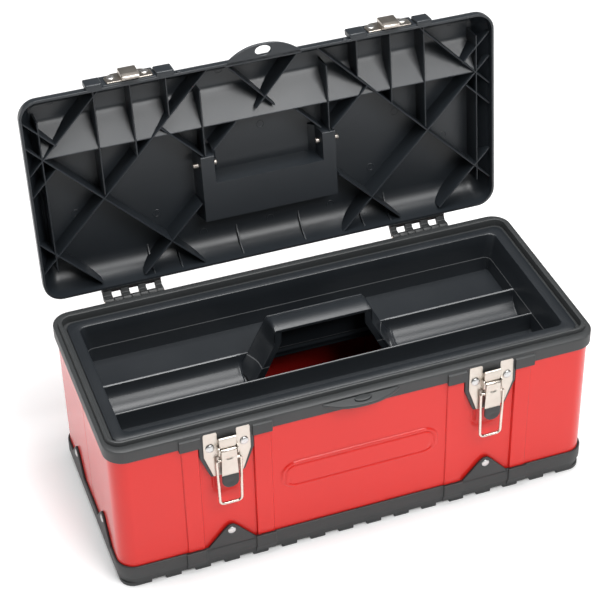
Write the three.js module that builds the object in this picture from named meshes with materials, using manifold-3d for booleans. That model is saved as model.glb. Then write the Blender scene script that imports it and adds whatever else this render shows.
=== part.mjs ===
// A steel and plastic toolbox with a hinged lid, a lift-out tray and two draw latches.
// Millimetres, +Z up. X runs along the box, -Y is its latched front, and the origin is the
// middle of the underside. The lid is drawn shut and then turned open about its hinge.
import * as THREE from 'three';
import { mergeVertices } from 'three/addons/utils/BufferGeometryUtils.js';
import Module from 'manifold-3d';

// ---- driving dimensions ----
const GAP = 0.3;                     // clearance between neighbouring pieces
const COLLAR = { halfX: 255, halfY: 115, radius: 20, skirtZ: 162, rimZ: 180.7 };
const BEAD = { halfX: 250, halfY: 105.3, width: 4, topZ: 185 };
const LEDGE = { halfX: 237, halfY: 89.5, topZ: 177, bottomZ: 170 };
const SHELL = { halfX: 252, halfY: 112, radius: 18, wall: 1.4, topZ: 167 };
const RIB = { inner: 92.5, outer: 110.4, farInner: 165.8, farOuter: 182.9, rise: 1.5 };
const BASE = { halfX: 254.5, halfY: 114.5, topZ: 27, floorTop: 8, lugHeight: 3.5, lugPlane: 112.3 };
const LUG = { width: 16.4, pitch: 30.7, count: 14 };
const PEAK = { frontX: 137.6, endY: 52, halfFoot: 25, topZ: 51.5, rivetZ: 44.5 };
const LATCH_X = 138;
const LATCH = { plateY: -116.5, plateThick: 1.2, pinY: -120, pinZ: 156, bailZ: 145, bailY: -120 };
const HINGE = { y: 124, z: 174, inner: 129.5, outer: 193.5, barrel: 3.6, openDegrees: 96.2 };
const HINGE_SLOTS = [[137, 146.5], [155, 164.5], [174, 183.5]];
const LID = { halfX: 253, halfY: 113, radius: 20, wall: 2.5, rimZ: 181, bandZ: 188.5, topZ: 212.5 };
const LID_TAPER = 13;                // how far the lid's sloping sides lean in
const GROOVE = { halfX: 234, frontV: 190.5, crestV: 158.4, backV: 153, depth: 23 };
const POCKET = { halfX: 71, backV: 52.5, frontV: 91, armInner: 61.6, armV: 122.5, depth: 24 };
const LID_HANDLE = { pinV: 112.5, pinZ: 196.5, pinRadius: 3, gripBackV: 57, gripFrontV: 84 };
const TRAY = { halfX: 230.8, halfY: 85.5, wall: 2.3, flangeX: 242.5, flangeY: 96.7, topZ: 179.3 };
const TRAY_FLOOR = { rear: 134.6, channel: 128.5, front: 131, dividerZ: 150 };
const BIN_X = 225.5;                 // half length of the tray's bins at their top
const CHANNEL = { y: -1.7, radius: 21.4 };
const TRAY_GRIP = { halfX: 51.6, footX: 77, frontY: -9.5, backY: 18.3, crestZ: 196.6 };
const WIRE = 1.5;                    // radius of the latch wire
const FACETS = 12;

// ---- colours ----
const redPaint = new THREE.MeshStandardMaterial({ color: 0xe23a30, roughness: 0.35, metalness: 0 });
const blackPlastic = new THREE.MeshStandardMaterial({ color: 0x25282b, roughness: 0.5, metalness: 0 });
const greyPlastic = new THREE.MeshStandardMaterial({ color: 0x34373a, roughness: 0.6, metalness: 0 });
const nickel = new THREE.MeshStandardMaterial({ color: 0xd8cfc0, roughness: 0.3, metalness: 1 });

// ---- solids ----
const wasm = await Module();
wasm.setup();

function solid(geometry) {
  let bare = geometry.index ? geometry.toNonIndexed() : geometry.clone();
  bare.deleteAttribute('normal');
  bare.deleteAttribute('uv');
  bare = mergeVertices(bare, 1e-4);
  const mesh = new wasm.Mesh({
    numProp: 3,
    vertProperties: new Float32Array(bare.attributes.position.array),
    triVerts: new Uint32Array(bare.index.array),
  });
  mesh.merge();
  return new wasm.Manifold(mesh);
}

function geometryOf(manifold) {
  const mesh = manifold.getMesh();
  const geometry = new THREE.BufferGeometry();
  geometry.setAttribute('position', new THREE.BufferAttribute(mesh.vertProperties, 3));
  geometry.setIndex(new THREE.BufferAttribute(mesh.triVerts, 1));
  return geometry;
}

function block(x0, x1, y0, y1, z0, z1) {
  const geometry = new THREE.BoxGeometry(x1 - x0, y1 - y0, z1 - z0);
  geometry.translate((x0 + x1) / 2, (y0 + y1) / 2, (z0 + z1) / 2);
  return solid(geometry);
}

function polygon(points) {
  return new THREE.Shape(points.map(([x, y]) => new THREE.Vector2(x, y)));
}

// A shape in X and Y, raised from z0 to z1.
function raised(shape, z0, z1, curveSegments = 5) {
  const options = { depth: z1 - z0, bevelEnabled: false, curveSegments };
  return solid(new THREE.ExtrudeGeometry(shape, options).translate(0, 0, z0));
}

// A shape in Y and Z, carried along X from x0 to x1.
function alongX(shape, x0, x1, curveSegments = 5) {
  const geometry = new THREE.ExtrudeGeometry(shape, { depth: x1 - x0, bevelEnabled: false, curveSegments });
  geometry.applyMatrix4(new THREE.Matrix4().makeBasis(
    new THREE.Vector3(0, 1, 0), new THREE.Vector3(0, 0, 1), new THREE.Vector3(1, 0, 0)));
  return solid(geometry.translate(x0, 0, 0));
}

// A shape in X and Z, carried along Y from y0 to y1.
function alongY(shape, y0, y1, curveSegments = 5) {
  const geometry = new THREE.ExtrudeGeometry(shape, { depth: y1 - y0, bevelEnabled: false, curveSegments });
  geometry.applyMatrix4(new THREE.Matrix4().makeBasis(
    new THREE.Vector3(1, 0, 0), new THREE.Vector3(0, 0, 1), new THREE.Vector3(0, -1, 0)));
  return solid(geometry.translate(0, y1, 0));
}

function rodX(radius, x0, x1, y, z, sides = FACETS) {
  const geometry = new THREE.CylinderGeometry(radius, radius, x1 - x0, sides);
  geometry.rotateZ(Math.PI / 2);
  return solid(geometry.translate((x0 + x1) / 2, y, z));
}

function rodY(radius, y0, y1, x, z, sides = FACETS) {
  const geometry = new THREE.CylinderGeometry(radius, radius, y1 - y0, sides);
  return solid(geometry.translate(x, (y0 + y1) / 2, z));
}

function roundedRectangle(halfX, halfY, radius) {
  const shape = new THREE.Shape();
  shape.moveTo(halfX, halfY - radius);
  shape.absarc(halfX - radius, halfY - radius, radius, 0, Math.PI / 2, false);
  shape.absarc(-halfX + radius, halfY - radius, radius, Math.PI / 2, Math.PI, false);
  shape.absarc(-halfX + radius, -halfY + radius, radius, Math.PI, 1.5 * Math.PI, false);
  shape.absarc(halfX - radius, -halfY + radius, radius, 1.5 * Math.PI, 2 * Math.PI, false);
  shape.closePath();
  return shape;
}

function slab(halfX, halfY, radius, z0, z1) {
  return raised(roundedRectangle(halfX, halfY, radius), z0, z1);
}

// A rounded slab whose upper outline is drawn in by `inset` on every side.
function taperedSlab(halfX, halfY, radius, z0, z1, inset) {
  const shape = roundedRectangle(halfX, halfY, radius);
  const geometry = new THREE.ExtrudeGeometry(shape, { depth: z1 - z0, bevelEnabled: false, curveSegments: 5 });
  const place = geometry.attributes.position;
  const shrink = (value, half) => {
    const beyond = Math.abs(value) - (half - radius);
    return Math.sign(value) * (half - radius + beyond * (radius - inset) / radius);
  };
  for (let i = 0; i < place.count; i += 1) {
    if (place.getZ(i) > (z1 - z0) / 2) {
      place.setX(i, shrink(place.getX(i), halfX));
      place.setY(i, shrink(place.getY(i), halfY));
    }
  }
  return solid(geometry.translate(0, 0, z0));
}

function unionOf(pieces) {
  return pieces.reduce((whole, piece) => whole.add(piece));
}

function cut(body, tools) {
  return tools.reduce((rest, tool) => rest.subtract(tool), body);
}

function bothSides(make) {
  return [make(-1), make(1)];
}

// A piece given by its distances from the middle, on the left (-1) or the right (1).
function sided(side, x0, x1, y0, y1, z0, z1) {
  return side < 0 ? block(-x1, -x0, y0, y1, z0, z1) : block(x0, x1, y0, y1, z0, z1);
}

// ---- the scene ----
const toolbox = new THREE.Group();
const lidGroup = new THREE.Group();
lidGroup.position.set(0, HINGE.y, HINGE.z);
lidGroup.rotation.x = THREE.MathUtils.degToRad(-HINGE.openDegrees);
toolbox.add(lidGroup);

function addTo(group, name, body, material) {
  const mesh = new THREE.Mesh(geometryOf(body), material);
  mesh.name = name;
  group.add(mesh);
}

function add(name, body, material) {
  addTo(toolbox, name, body, material);
}

// A lid piece is drawn with the lid shut, and its place is kept from the hinge line.
function addToLid(name, body, material) {
  addTo(lidGroup, name, body.translate(0, -HINGE.y, -HINGE.z), material);
}

// ---- steel body ----
const RIVET = { head: 4.2, rise: 1.3, shank: 1.6, tail: 2.6 };

function peakRivetPlaces() {
  const places = [];
  for (const side of [-1, 1]) {
    const hand = side < 0 ? 'left' : 'right';
    places.push({ name: `front_${hand}`, x: side * PEAK.frontX, y: -BASE.halfY, turn: 0 });
    places.push({ name: `rear_${hand}`, x: side * PEAK.frontX, y: BASE.halfY, turn: Math.PI });
    for (const end of [-1, 1]) {
      const name = `${hand}_end_${end < 0 ? 'front' : 'rear'}`;
      places.push({ name, x: side * BASE.halfX, y: end * PEAK.endY, turn: side * Math.PI / 2 });
    }
  }
  return places;
}

// A turned shape with its axis along Y, its outer head towards -Y, then turned about Z.
function turnedAt(profile, place, sides = 10) {
  const geometry = new THREE.LatheGeometry(profile.map(([r, h]) => new THREE.Vector2(r, h)), sides);
  geometry.rotateX(Math.PI);
  geometry.rotateZ(place.turn);
  return solid(geometry.translate(place.x, place.y, place.z));
}

// The head stands on the outer face at h = 0. A through rivet has a spread tail past its grip.
function rivet(place, grip, through) {
  const tail = [[0, -grip - 1.2], [RIVET.tail, -grip - 1], [RIVET.tail, -grip]];
  const profile = [
    ...(through ? tail : [[0, -grip]]), [RIVET.shank, -grip], [RIVET.shank, GAP / 3],
    [RIVET.head, GAP / 3], [RIVET.head * 0.8, RIVET.rise * 0.75], [0, RIVET.rise],
  ];
  return turnedAt(profile, place);
}

function rivetHole(place, grip) {
  const radius = RIVET.shank + GAP;
  const profile = [[0, -grip - 4], [radius, -grip - 4], [radius, 4], [0, 4]];
  return turnedAt(profile, place);
}

const rivets = peakRivetPlaces().map((place) => ({ ...place, z: PEAK.rivetZ }));
const RIVET_GRIP = BASE.halfY - SHELL.halfY + SHELL.wall + GAP;

function steelShell() {
  const bottom = BASE.floorTop + GAP;
  const outer = slab(SHELL.halfX, SHELL.halfY, SHELL.radius, bottom, SHELL.topZ);
  const inner = slab(SHELL.halfX - SHELL.wall, SHELL.halfY - SHELL.wall, SHELL.radius - SHELL.wall,
    bottom - 1, SHELL.topZ + 1);
  const ribs = [];
  for (const side of [-1, 1]) {
    for (const [near, far] of [[RIB.inner, RIB.outer], [RIB.farInner, RIB.farOuter]]) {
      const face = SHELL.halfY - 0.5;
      ribs.push(sided(side, near, far, -face - RIB.rise - 0.5, -face, BASE.topZ + 0.5, COLLAR.skirtZ - GAP));
      ribs.push(sided(side, near, far, face, face + RIB.rise + 0.5, BASE.topZ + 0.5, COLLAR.skirtZ - GAP));
    }
  }
  const tube = outer.subtract(inner);
  return cut(unionOf([tube, ...ribs]), rivets.map((place) => rivetHole(place, RIVET_GRIP)));
}

// A plain raised pill on the front panel, pressed from the sheet.
function frontBadge() {
  const shape = roundedRectangle(84.3, 17, 16.9);
  return alongY(shape, -SHELL.halfY - 1.6, -SHELL.halfY - GAP).translate(0, 0, 95.5);
}

// ---- plastic base ----
function peakOutline(centre) {
  const { halfFoot, topZ } = PEAK;
  return polygon([[centre - halfFoot, BASE.topZ - 2], [centre + halfFoot, BASE.topZ - 2],
    [centre + 7, topZ - 3], [centre + 4, topZ], [centre - 4, topZ], [centre - 7, topZ - 3]]);
}

function basePeaks() {
  const thin = BASE.halfY - SHELL.halfY - GAP;
  const peaks = [];
  for (const side of [-1, 1]) {
    const outline = peakOutline(side * PEAK.frontX);
    peaks.push(alongY(outline, -BASE.halfY, -BASE.halfY + thin));
    peaks.push(alongY(outline, BASE.halfY - thin, BASE.halfY));
    for (const end of [-1, 1]) {
      const across = peakOutline(end * PEAK.endY);
      const x0 = side < 0 ? -BASE.halfX : BASE.halfX - thin;
      peaks.push(alongX(across, x0, x0 + thin));
    }
  }
  return peaks;
}

function baseMoulding() {
  const outer = slab(BASE.halfX, BASE.halfY, 20, BASE.lugHeight + 8, BASE.topZ);
  const lower = slab(BASE.halfX - 2, BASE.halfY - 2, 18, BASE.lugHeight, BASE.lugHeight + 9);
  const pocket = slab(SHELL.halfX + GAP, SHELL.halfY + GAP, SHELL.radius + GAP, BASE.floorTop, BASE.topZ + 1);
  const cup = outer.add(lower).subtract(pocket);
  const feet = slab(BASE.halfX - 2.2, BASE.lugPlane, 18, 0, BASE.lugHeight + 1);
  const notches = [];
  const start = -(LUG.count - 1) * LUG.pitch / 2;
  for (let i = 0; i <= LUG.count; i += 1) {
    const x0 = start + (i - 1) * LUG.pitch + LUG.width / 2;
    for (const side of [-1, 1]) {
      const y0 = side < 0 ? -BASE.halfY : 70;
      notches.push(block(x0, x0 + LUG.pitch - LUG.width, y0, y0 + 44.5, -1, BASE.lugHeight));
    }
  }
  const body = unionOf([cup, cut(feet, notches), ...basePeaks()]);
  return cut(body, rivets.map((place) => rivetHole(place, RIVET_GRIP)));
}

// ---- plastic collar round the opening ----
function collarTab() {
  const shape = new THREE.Shape();
  shape.moveTo(-42, -COLLAR.halfY + 2);
  shape.quadraticCurveTo(-24, -127.5, 0, -127.5);
  shape.quadraticCurveTo(24, -127.5, 42, -COLLAR.halfY + 2);
  shape.closePath();
  const boss = new THREE.Shape();
  boss.absellipse(0, -120, 8, 3.6, 0, 2 * Math.PI);
  return raised(shape, 174.5, 178.5, 8).add(raised(boss, 178, 180.5, 8));
}

function latchBacking(side) {
  const x = side * LATCH_X;
  const face = -COLLAR.halfY;
  const outline = polygon([[x - 27.5, COLLAR.skirtZ + 6], [x - 27.5, 148.5], [x - 17.3, 121.5],
    [x + 17.3, 121.5], [x + 27.5, 148.5], [x + 27.5, COLLAR.skirtZ + 6]]);
  return alongY(outline, face, -SHELL.halfY - RIB.rise - GAP);
}

function topCollar() {
  const outer = slab(COLLAR.halfX, COLLAR.halfY, COLLAR.radius, COLLAR.skirtZ, COLLAR.rimZ);
  const bead = slab(BEAD.halfX, BEAD.halfY, COLLAR.radius - 7, COLLAR.rimZ - 1, BEAD.topZ);
  const well = slab(BEAD.halfX - BEAD.width, BEAD.halfY - BEAD.width, 9, LEDGE.topZ, BEAD.topZ + 1);
  const throat = slab(LEDGE.halfX, LEDGE.halfY, 9, COLLAR.skirtZ - 1, LEDGE.topZ + 1);
  const socket = slab(SHELL.halfX + GAP, SHELL.halfY + GAP, SHELL.radius, COLLAR.skirtZ - 1, LEDGE.bottomZ);
  const groove = cut(slab(BEAD.halfX + 2, BEAD.halfY + 2, 15, 179.5, 182),
    [slab(BEAD.halfX, BEAD.halfY, 13, 179, 183)]);
  const body = unionOf([outer, bead, collarTab(), ...bothSides(latchBacking)]);
  return cut(body, [well, throat, socket, groove, ...latchRivetPlaces().map((place) => rivetHole(place, 4.6))]);
}

// ---- latches ----
function latchRivetPlaces() {
  const places = [];
  for (const side of [-1, 1]) {
    for (const offset of [-17.2, 17.2]) {
      const name = `latch_${side < 0 ? 'left' : 'right'}_rivet_${offset < 0 ? 'a' : 'b'}`;
      places.push({ name, x: side * LATCH_X + offset, y: LATCH.plateY, z: 160, turn: 0 });
    }
  }
  return places;
}

function latchPlate(side) {
  const x = side * LATCH_X;
  const front = LATCH.plateY;
  const back = front + LATCH.plateThick;
  const outline = polygon([[x - 23.7, 179], [x - 23.7, 150], [x - 15, 123.5], [x + 15, 123.5],
    [x + 23.7, 150], [x + 23.7, 179], [x + 9, 179], [x + 9, 172], [x - 9, 172], [x - 9, 179]]);
  const sheet = alongY(outline, front, back);
  const bridge = block(x - 8, x + 8, front - 3, front + 0.6, 161, 173.5);
  const lugs = bothSides((hand) => block(
    x + (hand < 0 ? -10.2 : 8.6), x + (hand < 0 ? -8.6 : 10.2), LATCH.pinY - 2.6, front + 0.6, 151, 161.5));
  const pinHole = rodX(1.6 + GAP, x - 12, x + 12, LATCH.pinY, LATCH.pinZ);
  const body = unionOf([sheet, bridge, ...lugs]);
  return cut(body, [pinHole, ...latchRivetPlaces().map((place) => rivetHole(place, 2))]);
}

function leverPin(side) {
  const x = side * LATCH_X;
  return rodX(1.6, x - 10.3, x + 10.3, LATCH.pinY, LATCH.pinZ);
}

function latchLever(side) {
  const x = side * LATCH_X;
  const { pinY, pinZ } = LATCH;
  const face = block(x - 8, x + 8, pinY - 4, pinY - 2.6, 126, pinZ);
  const roll = rodX(3.2, x - 8, x + 8, pinY, pinZ);
  const cheeks = bothSides((hand) => block(
    x + (hand < 0 ? -8 : 6.4), x + (hand < 0 ? -6.4 : 8), pinY - 3, pinY + 2.4, 140, pinZ));
  const body = unionOf([face, roll, ...cheeks]);
  return cut(body, [
    rodX(1.6 + GAP, x - 12, x + 12, pinY, pinZ),
    rodX(WIRE + GAP, x - 12, x + 12, LATCH.bailY, LATCH.bailZ),
  ]);
}

function leverGrip(side) {
  const x = side * LATCH_X;
  const shape = new THREE.Shape();
  shape.moveTo(x - 8.6, 125.7);
  shape.lineTo(x - 8.6, 118.6);
  shape.absarc(x, 118.6, 8.6, Math.PI, 2 * Math.PI, false);
  shape.lineTo(x + 8.6, 125.7);
  shape.closePath();
  return alongY(shape, LATCH.pinY - 5, LATCH.pinY - 2.2);
}

// A wire frame: in through the lever's cheeks at the top, down both sides and across the bottom.
function latchBail(side) {
  const x = side * LATCH_X;
  const { bailY, bailZ } = LATCH;
  const bottom = 87.5;
  const at = (dx, z) => new THREE.Vector3(x + dx, bailY, z);
  const legs = [[5.2, bailZ], [12.2, bailZ], [12.2, bottom + 3], [10, bottom],
    [-10, bottom], [-12.2, bottom + 3], [-12.2, bailZ], [-5.2, bailZ]];
  const pieces = [];
  for (let i = 0; i + 1 < legs.length; i += 1) {
    pieces.push(strut(at(...legs[i]), at(...legs[i + 1]), WIRE));
    if (i > 0) {
      pieces.push(solid(new THREE.IcosahedronGeometry(WIRE, 0).translate(x + legs[i][0], bailY, legs[i][1])));
    }
  }
  return unionOf(pieces);
}

function strut(from, to, radius) {
  const length = from.distanceTo(to);
  const geometry = new THREE.CylinderGeometry(radius, radius, length, 6);
  const direction = to.clone().sub(from).normalize();
  geometry.applyQuaternion(new THREE.Quaternion().setFromUnitVectors(new THREE.Vector3(0, 1, 0), direction));
  const middle = from.clone().add(to).multiplyScalar(0.5);
  return solid(geometry.translate(middle.x, middle.y, middle.z));
}

// ---- tray ----
function trayBlock() {
  const wall = TRAY.wall;
  const outer = taperedDown(TRAY.halfX + wall, TRAY.halfY + wall, 10, TRAY.topZ - 1, 126, 3);
  const flange = slab(TRAY.flangeX, TRAY.flangeY, 9, LEDGE.topZ + GAP, TRAY.topZ);
  const upper = taperedDown(TRAY.halfX, TRAY.halfY, 8, TRAY.topZ + 0.5, TRAY_FLOOR.dividerZ, 2);
  const rear = taperedBin(-BIN_X, BIN_X, 23.5, 84, TRAY_FLOOR.rear, TRAY_FLOOR.dividerZ + 1, 1);
  const front = taperedBin(-BIN_X, BIN_X, -84.6, -26, TRAY_FLOOR.front, TRAY_FLOOR.dividerZ + 1, 1);
  const channel = rodX(CHANNEL.radius, 1 - BIN_X, BIN_X - 1, CHANNEL.y, TRAY_FLOOR.dividerZ, 20);
  const underRear = block(5 - BIN_X, BIN_X - 5, 21, 100, 120, TRAY_FLOOR.rear - wall);
  return cut(outer.add(flange), [upper, rear, front, channel, underRear]);
}

// A rounded slab drawn in by `inset` at its lower outline.
function taperedDown(halfX, halfY, radius, z1, z0, inset) {
  const body = taperedSlab(halfX, halfY, Math.max(radius, inset + 1), -z1, -z0, inset);
  return body.mirror([0, 0, 1]);
}

function taperedBin(x0, x1, y0, y1, z0, z1, lean) {
  const outline = polygon([[y0 + lean, z0], [y1 - lean, z0], [y1, z1], [y0, z1]]);
  const across = alongX(outline, x0, x1);
  const sides = alongY(polygon([[x0 + lean, z0], [x1 - lean, z0], [x1, z1], [x0, z1]]), y0 - 1, y1 + 1);
  return across.intersect(sides);
}

function trayGrip() {
  const { halfX, footX, frontY, backY, crestZ } = TRAY_GRIP;
  const arch = polygon([[-footX, 131], [-halfX - 2, crestZ - 4], [-halfX + 3, crestZ],
    [halfX - 3, crestZ], [halfX + 2, crestZ - 4], [footX, 131]]);
  const under = polygon([[-footX + 12, 120], [-halfX + 6, crestZ - 7.5], [halfX - 6, crestZ - 7.5],
    [footX - 12, 120]]);
  const body = alongY(arch, frontY, backY).subtract(alongY(under, frontY - 1, backY - 2.3));
  const hollow = alongX(polygon([[frontY + 2.3, crestZ - 12], [backY - 2.3, crestZ - 12],
    [backY - 2.3, crestZ - 4.5], [frontY + 2.3, crestZ - 4.5]]), -halfX + 2, halfX - 2);
  return body.subtract(hollow);
}

function tray() {
  const opening = block(-63, 63, -22, 16, 120, 150.5);
  const frontWall = block(-66, 66, -27, -22.3, 131, TRAY_FLOOR.dividerZ);
  const footing = block(-66, 66, 16, 21.2, 131, TRAY_FLOOR.dividerZ);
  return unionOf([trayBlock().subtract(opening), frontWall, footing, trayGrip()]);
}

// ---- hinges ----
function hingeSlots(side, clearance) {
  return HINGE_SLOTS.map(([near, far]) => sided(side, near - clearance, far + clearance, 100, 140, 150, 200));
}

function bodyLeaf(side) {
  const leaf = polygon([[COLLAR.halfY + GAP, 163], [COLLAR.halfY + GAP, 172], [117.6, 172], [117.6, 163]]);
  const arm = polygon([[116, 165], [116, 171.5], [121, 175.5], [126.5, 172], [124.5, 170.4]]);
  const { inner, outer, y, z, barrel } = HINGE;
  const place = (shape) => (side < 0 ? alongX(shape, -outer, -inner) : alongX(shape, inner, outer));
  const knuckles = rodX(barrel, side < 0 ? -outer : inner, side < 0 ? -inner : outer, y, z);
  const teeth = hingeSlots(side, -GAP);
  const moving = unionOf([place(arm), knuckles]).intersect(unionOf(teeth));
  const body = place(leaf).add(moving);
  return body.subtract(rodX(1.5 + GAP, -300, 300, y, z));
}

function lidLeaf(side) {
  const { inner, outer, y, z, barrel } = HINGE;
  const shape = polygon([[LID.halfY + GAP, 181.6], [LID.halfY + GAP, 188.5], [116, 188.5],
    [117.5, 184.4], [126.5, 180.5], [127.4, 174.6], [120.7, 175.2], [120.2, 180.2], [116, 181.6]]);
  const place = side < 0 ? alongX(shape, -outer, -inner) : alongX(shape, inner, outer);
  const knuckles = rodX(barrel, side < 0 ? -outer : inner, side < 0 ? -inner : outer, y, z);
  const slots = HINGE_SLOTS.map(([near, far]) => sided(side, near, far, 116.4, 140, 150, 186.5));
  return cut(place.add(knuckles), [...slots, rodX(1.5 + GAP, -300, 300, y, z)]);
}

function hingePin(side) {
  const { inner, outer, y, z } = HINGE;
  return rodX(1.5, side < 0 ? -outer : inner, side < 0 ? -inner : outer, y, z);
}

// ---- lid ----
const lidY = (v) => LID.halfY - v;   // v is the distance from the lid's hinge edge

function grooveSolid(grow, halfX) {
  const top = LID.topZ + 1;
  const { frontV, crestV, backV, depth } = GROOVE;
  const shape = polygon([[lidY(frontV) - grow * 1.7, top], [lidY(crestV) - grow * 0.4, LID.topZ - depth - grow],
    [lidY(crestV) + grow * 0.9, LID.topZ - depth - grow], [lidY(backV) + grow * 1.1, top]]);
  return alongX(shape, -halfX, halfX);
}

function pocketSolid(grow) {
  const { halfX, backV, frontV, armInner, armV, depth } = POCKET;
  const low = LID.topZ - depth - grow;
  const high = LID.topZ + 1;
  const well = block(-halfX - grow, halfX + grow, lidY(frontV + grow), lidY(backV - grow), low, high);
  const arms = bothSides((side) => sided(
    side, armInner - grow, halfX + grow, lidY(armV + grow), lidY(frontV), low, high));
  return unionOf([well, ...arms]);
}

// Stiffening ribs: each is a wall between two points (u along the lid, v from the hinge edge).
function ribLines() {
  const lines = [];
  for (const side of [-1, 1]) {
    const rib = (u0, v0, u1, v1) => lines.push([side * u0, v0, side * u1, v1]);
    rib(176, 107, 176, 220);
    rib(138.5, 142, 138.5, 220);
    rib(101.5, 179, 101.5, 220);
    rib(67.8, 127, 67.8, 199);
    rib(235, 36, 235, 200);
    rib(58, 222, 246, 34);
    rib(246, 170.5, 79, 3.5);
    rib(172, 220, 246, 146);
    rib(223, 146, 244, 124.5);
    rib(246, 61.5, 196, 11.5);
    rib(76, 73, 138, 11);
    rib(112, 168, 72, 128);
    rib(40, 220, -9, 171);
  }
  return lines;
}

function ribWall([u0, v0, u1, v1]) {
  const length = Math.hypot(u1 - u0, v1 - v0);
  const geometry = new THREE.BoxGeometry(length, 1.8, 30);
  geometry.rotateZ(Math.atan2(v0 - v1, u1 - u0));
  return solid(geometry.translate((u0 + u1) / 2, lidY((v0 + v1) / 2), LID.rimZ + 5.2 + 15));
}

function hoodBlocks() {
  const blocks = [];
  for (const side of [-1, 1]) {
    for (const [near, far] of [[93, 111.5], [166.5, 183.5]]) {
      blocks.push(sided(side, near, far, -LID.halfY - 5, -LID.halfY + 16, LID.rimZ, LID.rimZ + 17));
    }
    blocks.push(sided(side, 111, 167, -LID.halfY - 1.8, -LID.halfY + 16, LID.rimZ, LID.rimZ + 23));
  }
  return blocks;
}

function lidTab() {
  const shape = new THREE.Shape();
  shape.moveTo(-41, -LID.halfY + 2);
  shape.quadraticCurveTo(-24, -127, 0, -127);
  shape.quadraticCurveTo(24, -127, 41, -LID.halfY + 2);
  shape.closePath();
  const hole = new THREE.Path();
  hole.absellipse(0, -120, 8.6, 4.2, 0, 2 * Math.PI, true);
  shape.holes.push(hole);
  return raised(shape, LID.rimZ, LID.rimZ + 3, 8);
}

function lidShell() {
  const { halfX, halfY, radius, wall, rimZ, bandZ, topZ } = LID;
  const outside = unionOf([slab(halfX, halfY, radius, rimZ, bandZ + 0.01),
    taperedSlab(halfX, halfY, radius, bandZ, topZ, LID_TAPER), ...hoodBlocks()]);
  const insideTop = topZ - wall;
  const inside = unionOf([slab(halfX - wall, halfY - wall, radius - wall, rimZ - 1, bandZ + 0.01),
    taperedSlab(halfX - wall, halfY - wall, radius - wall, bandZ, insideTop, LID_TAPER)]);
  const ribs = unionOf(ribLines().map(ribWall)).intersect(inside);
  const hollow = cut(inside, [grooveSolid(wall, GROOVE.halfX + wall), pocketSolid(wall)]).subtract(ribs);
  const body = cut(outside, [hollow, grooveSolid(0, GROOVE.halfX), pocketSolid(0)]).add(lidTab());
  return cut(body, [...bothSides(handlePinHole), ...keeperRivetPlaces().map((place) => rivetHole(place, 5))]);
}

function handlePinHole(side) {
  const { pinV, pinZ, pinRadius } = LID_HANDLE;
  const reach = side < 0 ? [-82, -50] : [50, 82];
  return rodX(pinRadius + GAP, reach[0], reach[1], lidY(pinV), pinZ);
}

function handlePin(side) {
  const { pinV, pinZ, pinRadius } = LID_HANDLE;
  const reach = side < 0 ? [-80, -53] : [53, 80];
  return rodX(pinRadius, reach[0], reach[1], lidY(pinV), pinZ);
}

function lidHandle() {
  const { pinV, pinZ, gripBackV, gripFrontV } = LID_HANDLE;
  const grip = block(-70, 70, lidY(gripFrontV), lidY(gripBackV), LID.topZ - 20, LID.topZ - 1);
  const arms = bothSides((side) => sided(side, 62.6, 70, lidY(pinV), lidY(gripFrontV) + 2, pinZ - 6, pinZ + 6));
  const eyes = bothSides((side) => {
    const reach = side < 0 ? [-70, -62.6] : [62.6, 70];
    return rodX(6, reach[0], reach[1], lidY(pinV), pinZ, 16);
  });
  const body = unionOf([grip, ...arms, ...eyes]);
  return cut(body, bothSides(handlePinHole));
}

// ---- keepers on the lid's front ----
function keeperRivetPlaces() {
  return latchRivetPlaces().map((place) => ({
    ...place, name: place.name.replace('latch', 'keeper'), y: -LID.halfY - 1.8 - GAP - 1.2, z: LID.rimZ + 13,
  }));
}

function keeper(side) {
  const x = side * LATCH_X;
  const back = -LID.halfY - 1.8 - GAP;
  const outline = polygon([[x - 24, LID.rimZ + 2], [x - 24, LID.rimZ + 16], [x - 15, LID.rimZ + 22],
    [x + 15, LID.rimZ + 22], [x + 24, LID.rimZ + 16], [x + 24, LID.rimZ + 2]]);
  const plate = alongY(outline, back - 1.2, back);
  const hook = polygon([[back - 0.6, LID.rimZ + 1], [back - 0.6, LID.rimZ + 15], [back - 4, LID.rimZ + 17],
    [back - 7.5, LID.rimZ + 18.5], [back - 8.5, LID.rimZ + 16], [back - 6.5, LID.rimZ + 1]]);
  const body = plate.add(alongX(hook, x - 8.5, x + 8.5));
  return cut(body, keeperRivetPlaces().map((place) => rivetHole(place, 2)));
}

// ---- assembly ----
add('body_shell', steelShell(), redPaint);
add('front_badge', frontBadge(), redPaint);
add('base_moulding', baseMoulding(), greyPlastic);
add('top_collar', topCollar(), blackPlastic);
add('tray', tray(), blackPlastic);
for (const place of rivets) {
  add(`base_rivet_${place.name}`, rivet(place, RIVET_GRIP, true), nickel);
}
for (const place of latchRivetPlaces()) {
  add(place.name, rivet(place, 2.3, false), nickel);
}
for (const side of [-1, 1]) {
  const hand = side < 0 ? 'left' : 'right';
  add(`latch_plate_${hand}`, latchPlate(side), nickel);
  add(`lever_pin_${hand}`, leverPin(side), nickel);
  add(`lever_${hand}`, latchLever(side), nickel);
  add(`lever_grip_${hand}`, leverGrip(side), blackPlastic);
  add(`bail_${hand}`, latchBail(side), nickel);
  add(`hinge_body_leaf_${hand}`, bodyLeaf(side), blackPlastic);
  add(`hinge_pin_${hand}`, hingePin(side), nickel);
  addToLid(`hinge_lid_leaf_${hand}`, lidLeaf(side), blackPlastic);
  addToLid(`handle_pin_${hand}`, handlePin(side), blackPlastic);
  addToLid(`keeper_${hand}`, keeper(side), nickel);
}
for (const place of keeperRivetPlaces()) {
  addToLid(place.name, rivet(place, 4.5, false), nickel);
}
addToLid('lid_shell', lidShell(), blackPlastic);
addToLid('lid_handle', lidHandle(), blackPlastic);

export default toolbox;
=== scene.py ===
"""An open steel and plastic toolbox: ribbed lid, lift-out tray, pressed red body and draw latches."""

import math

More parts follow.
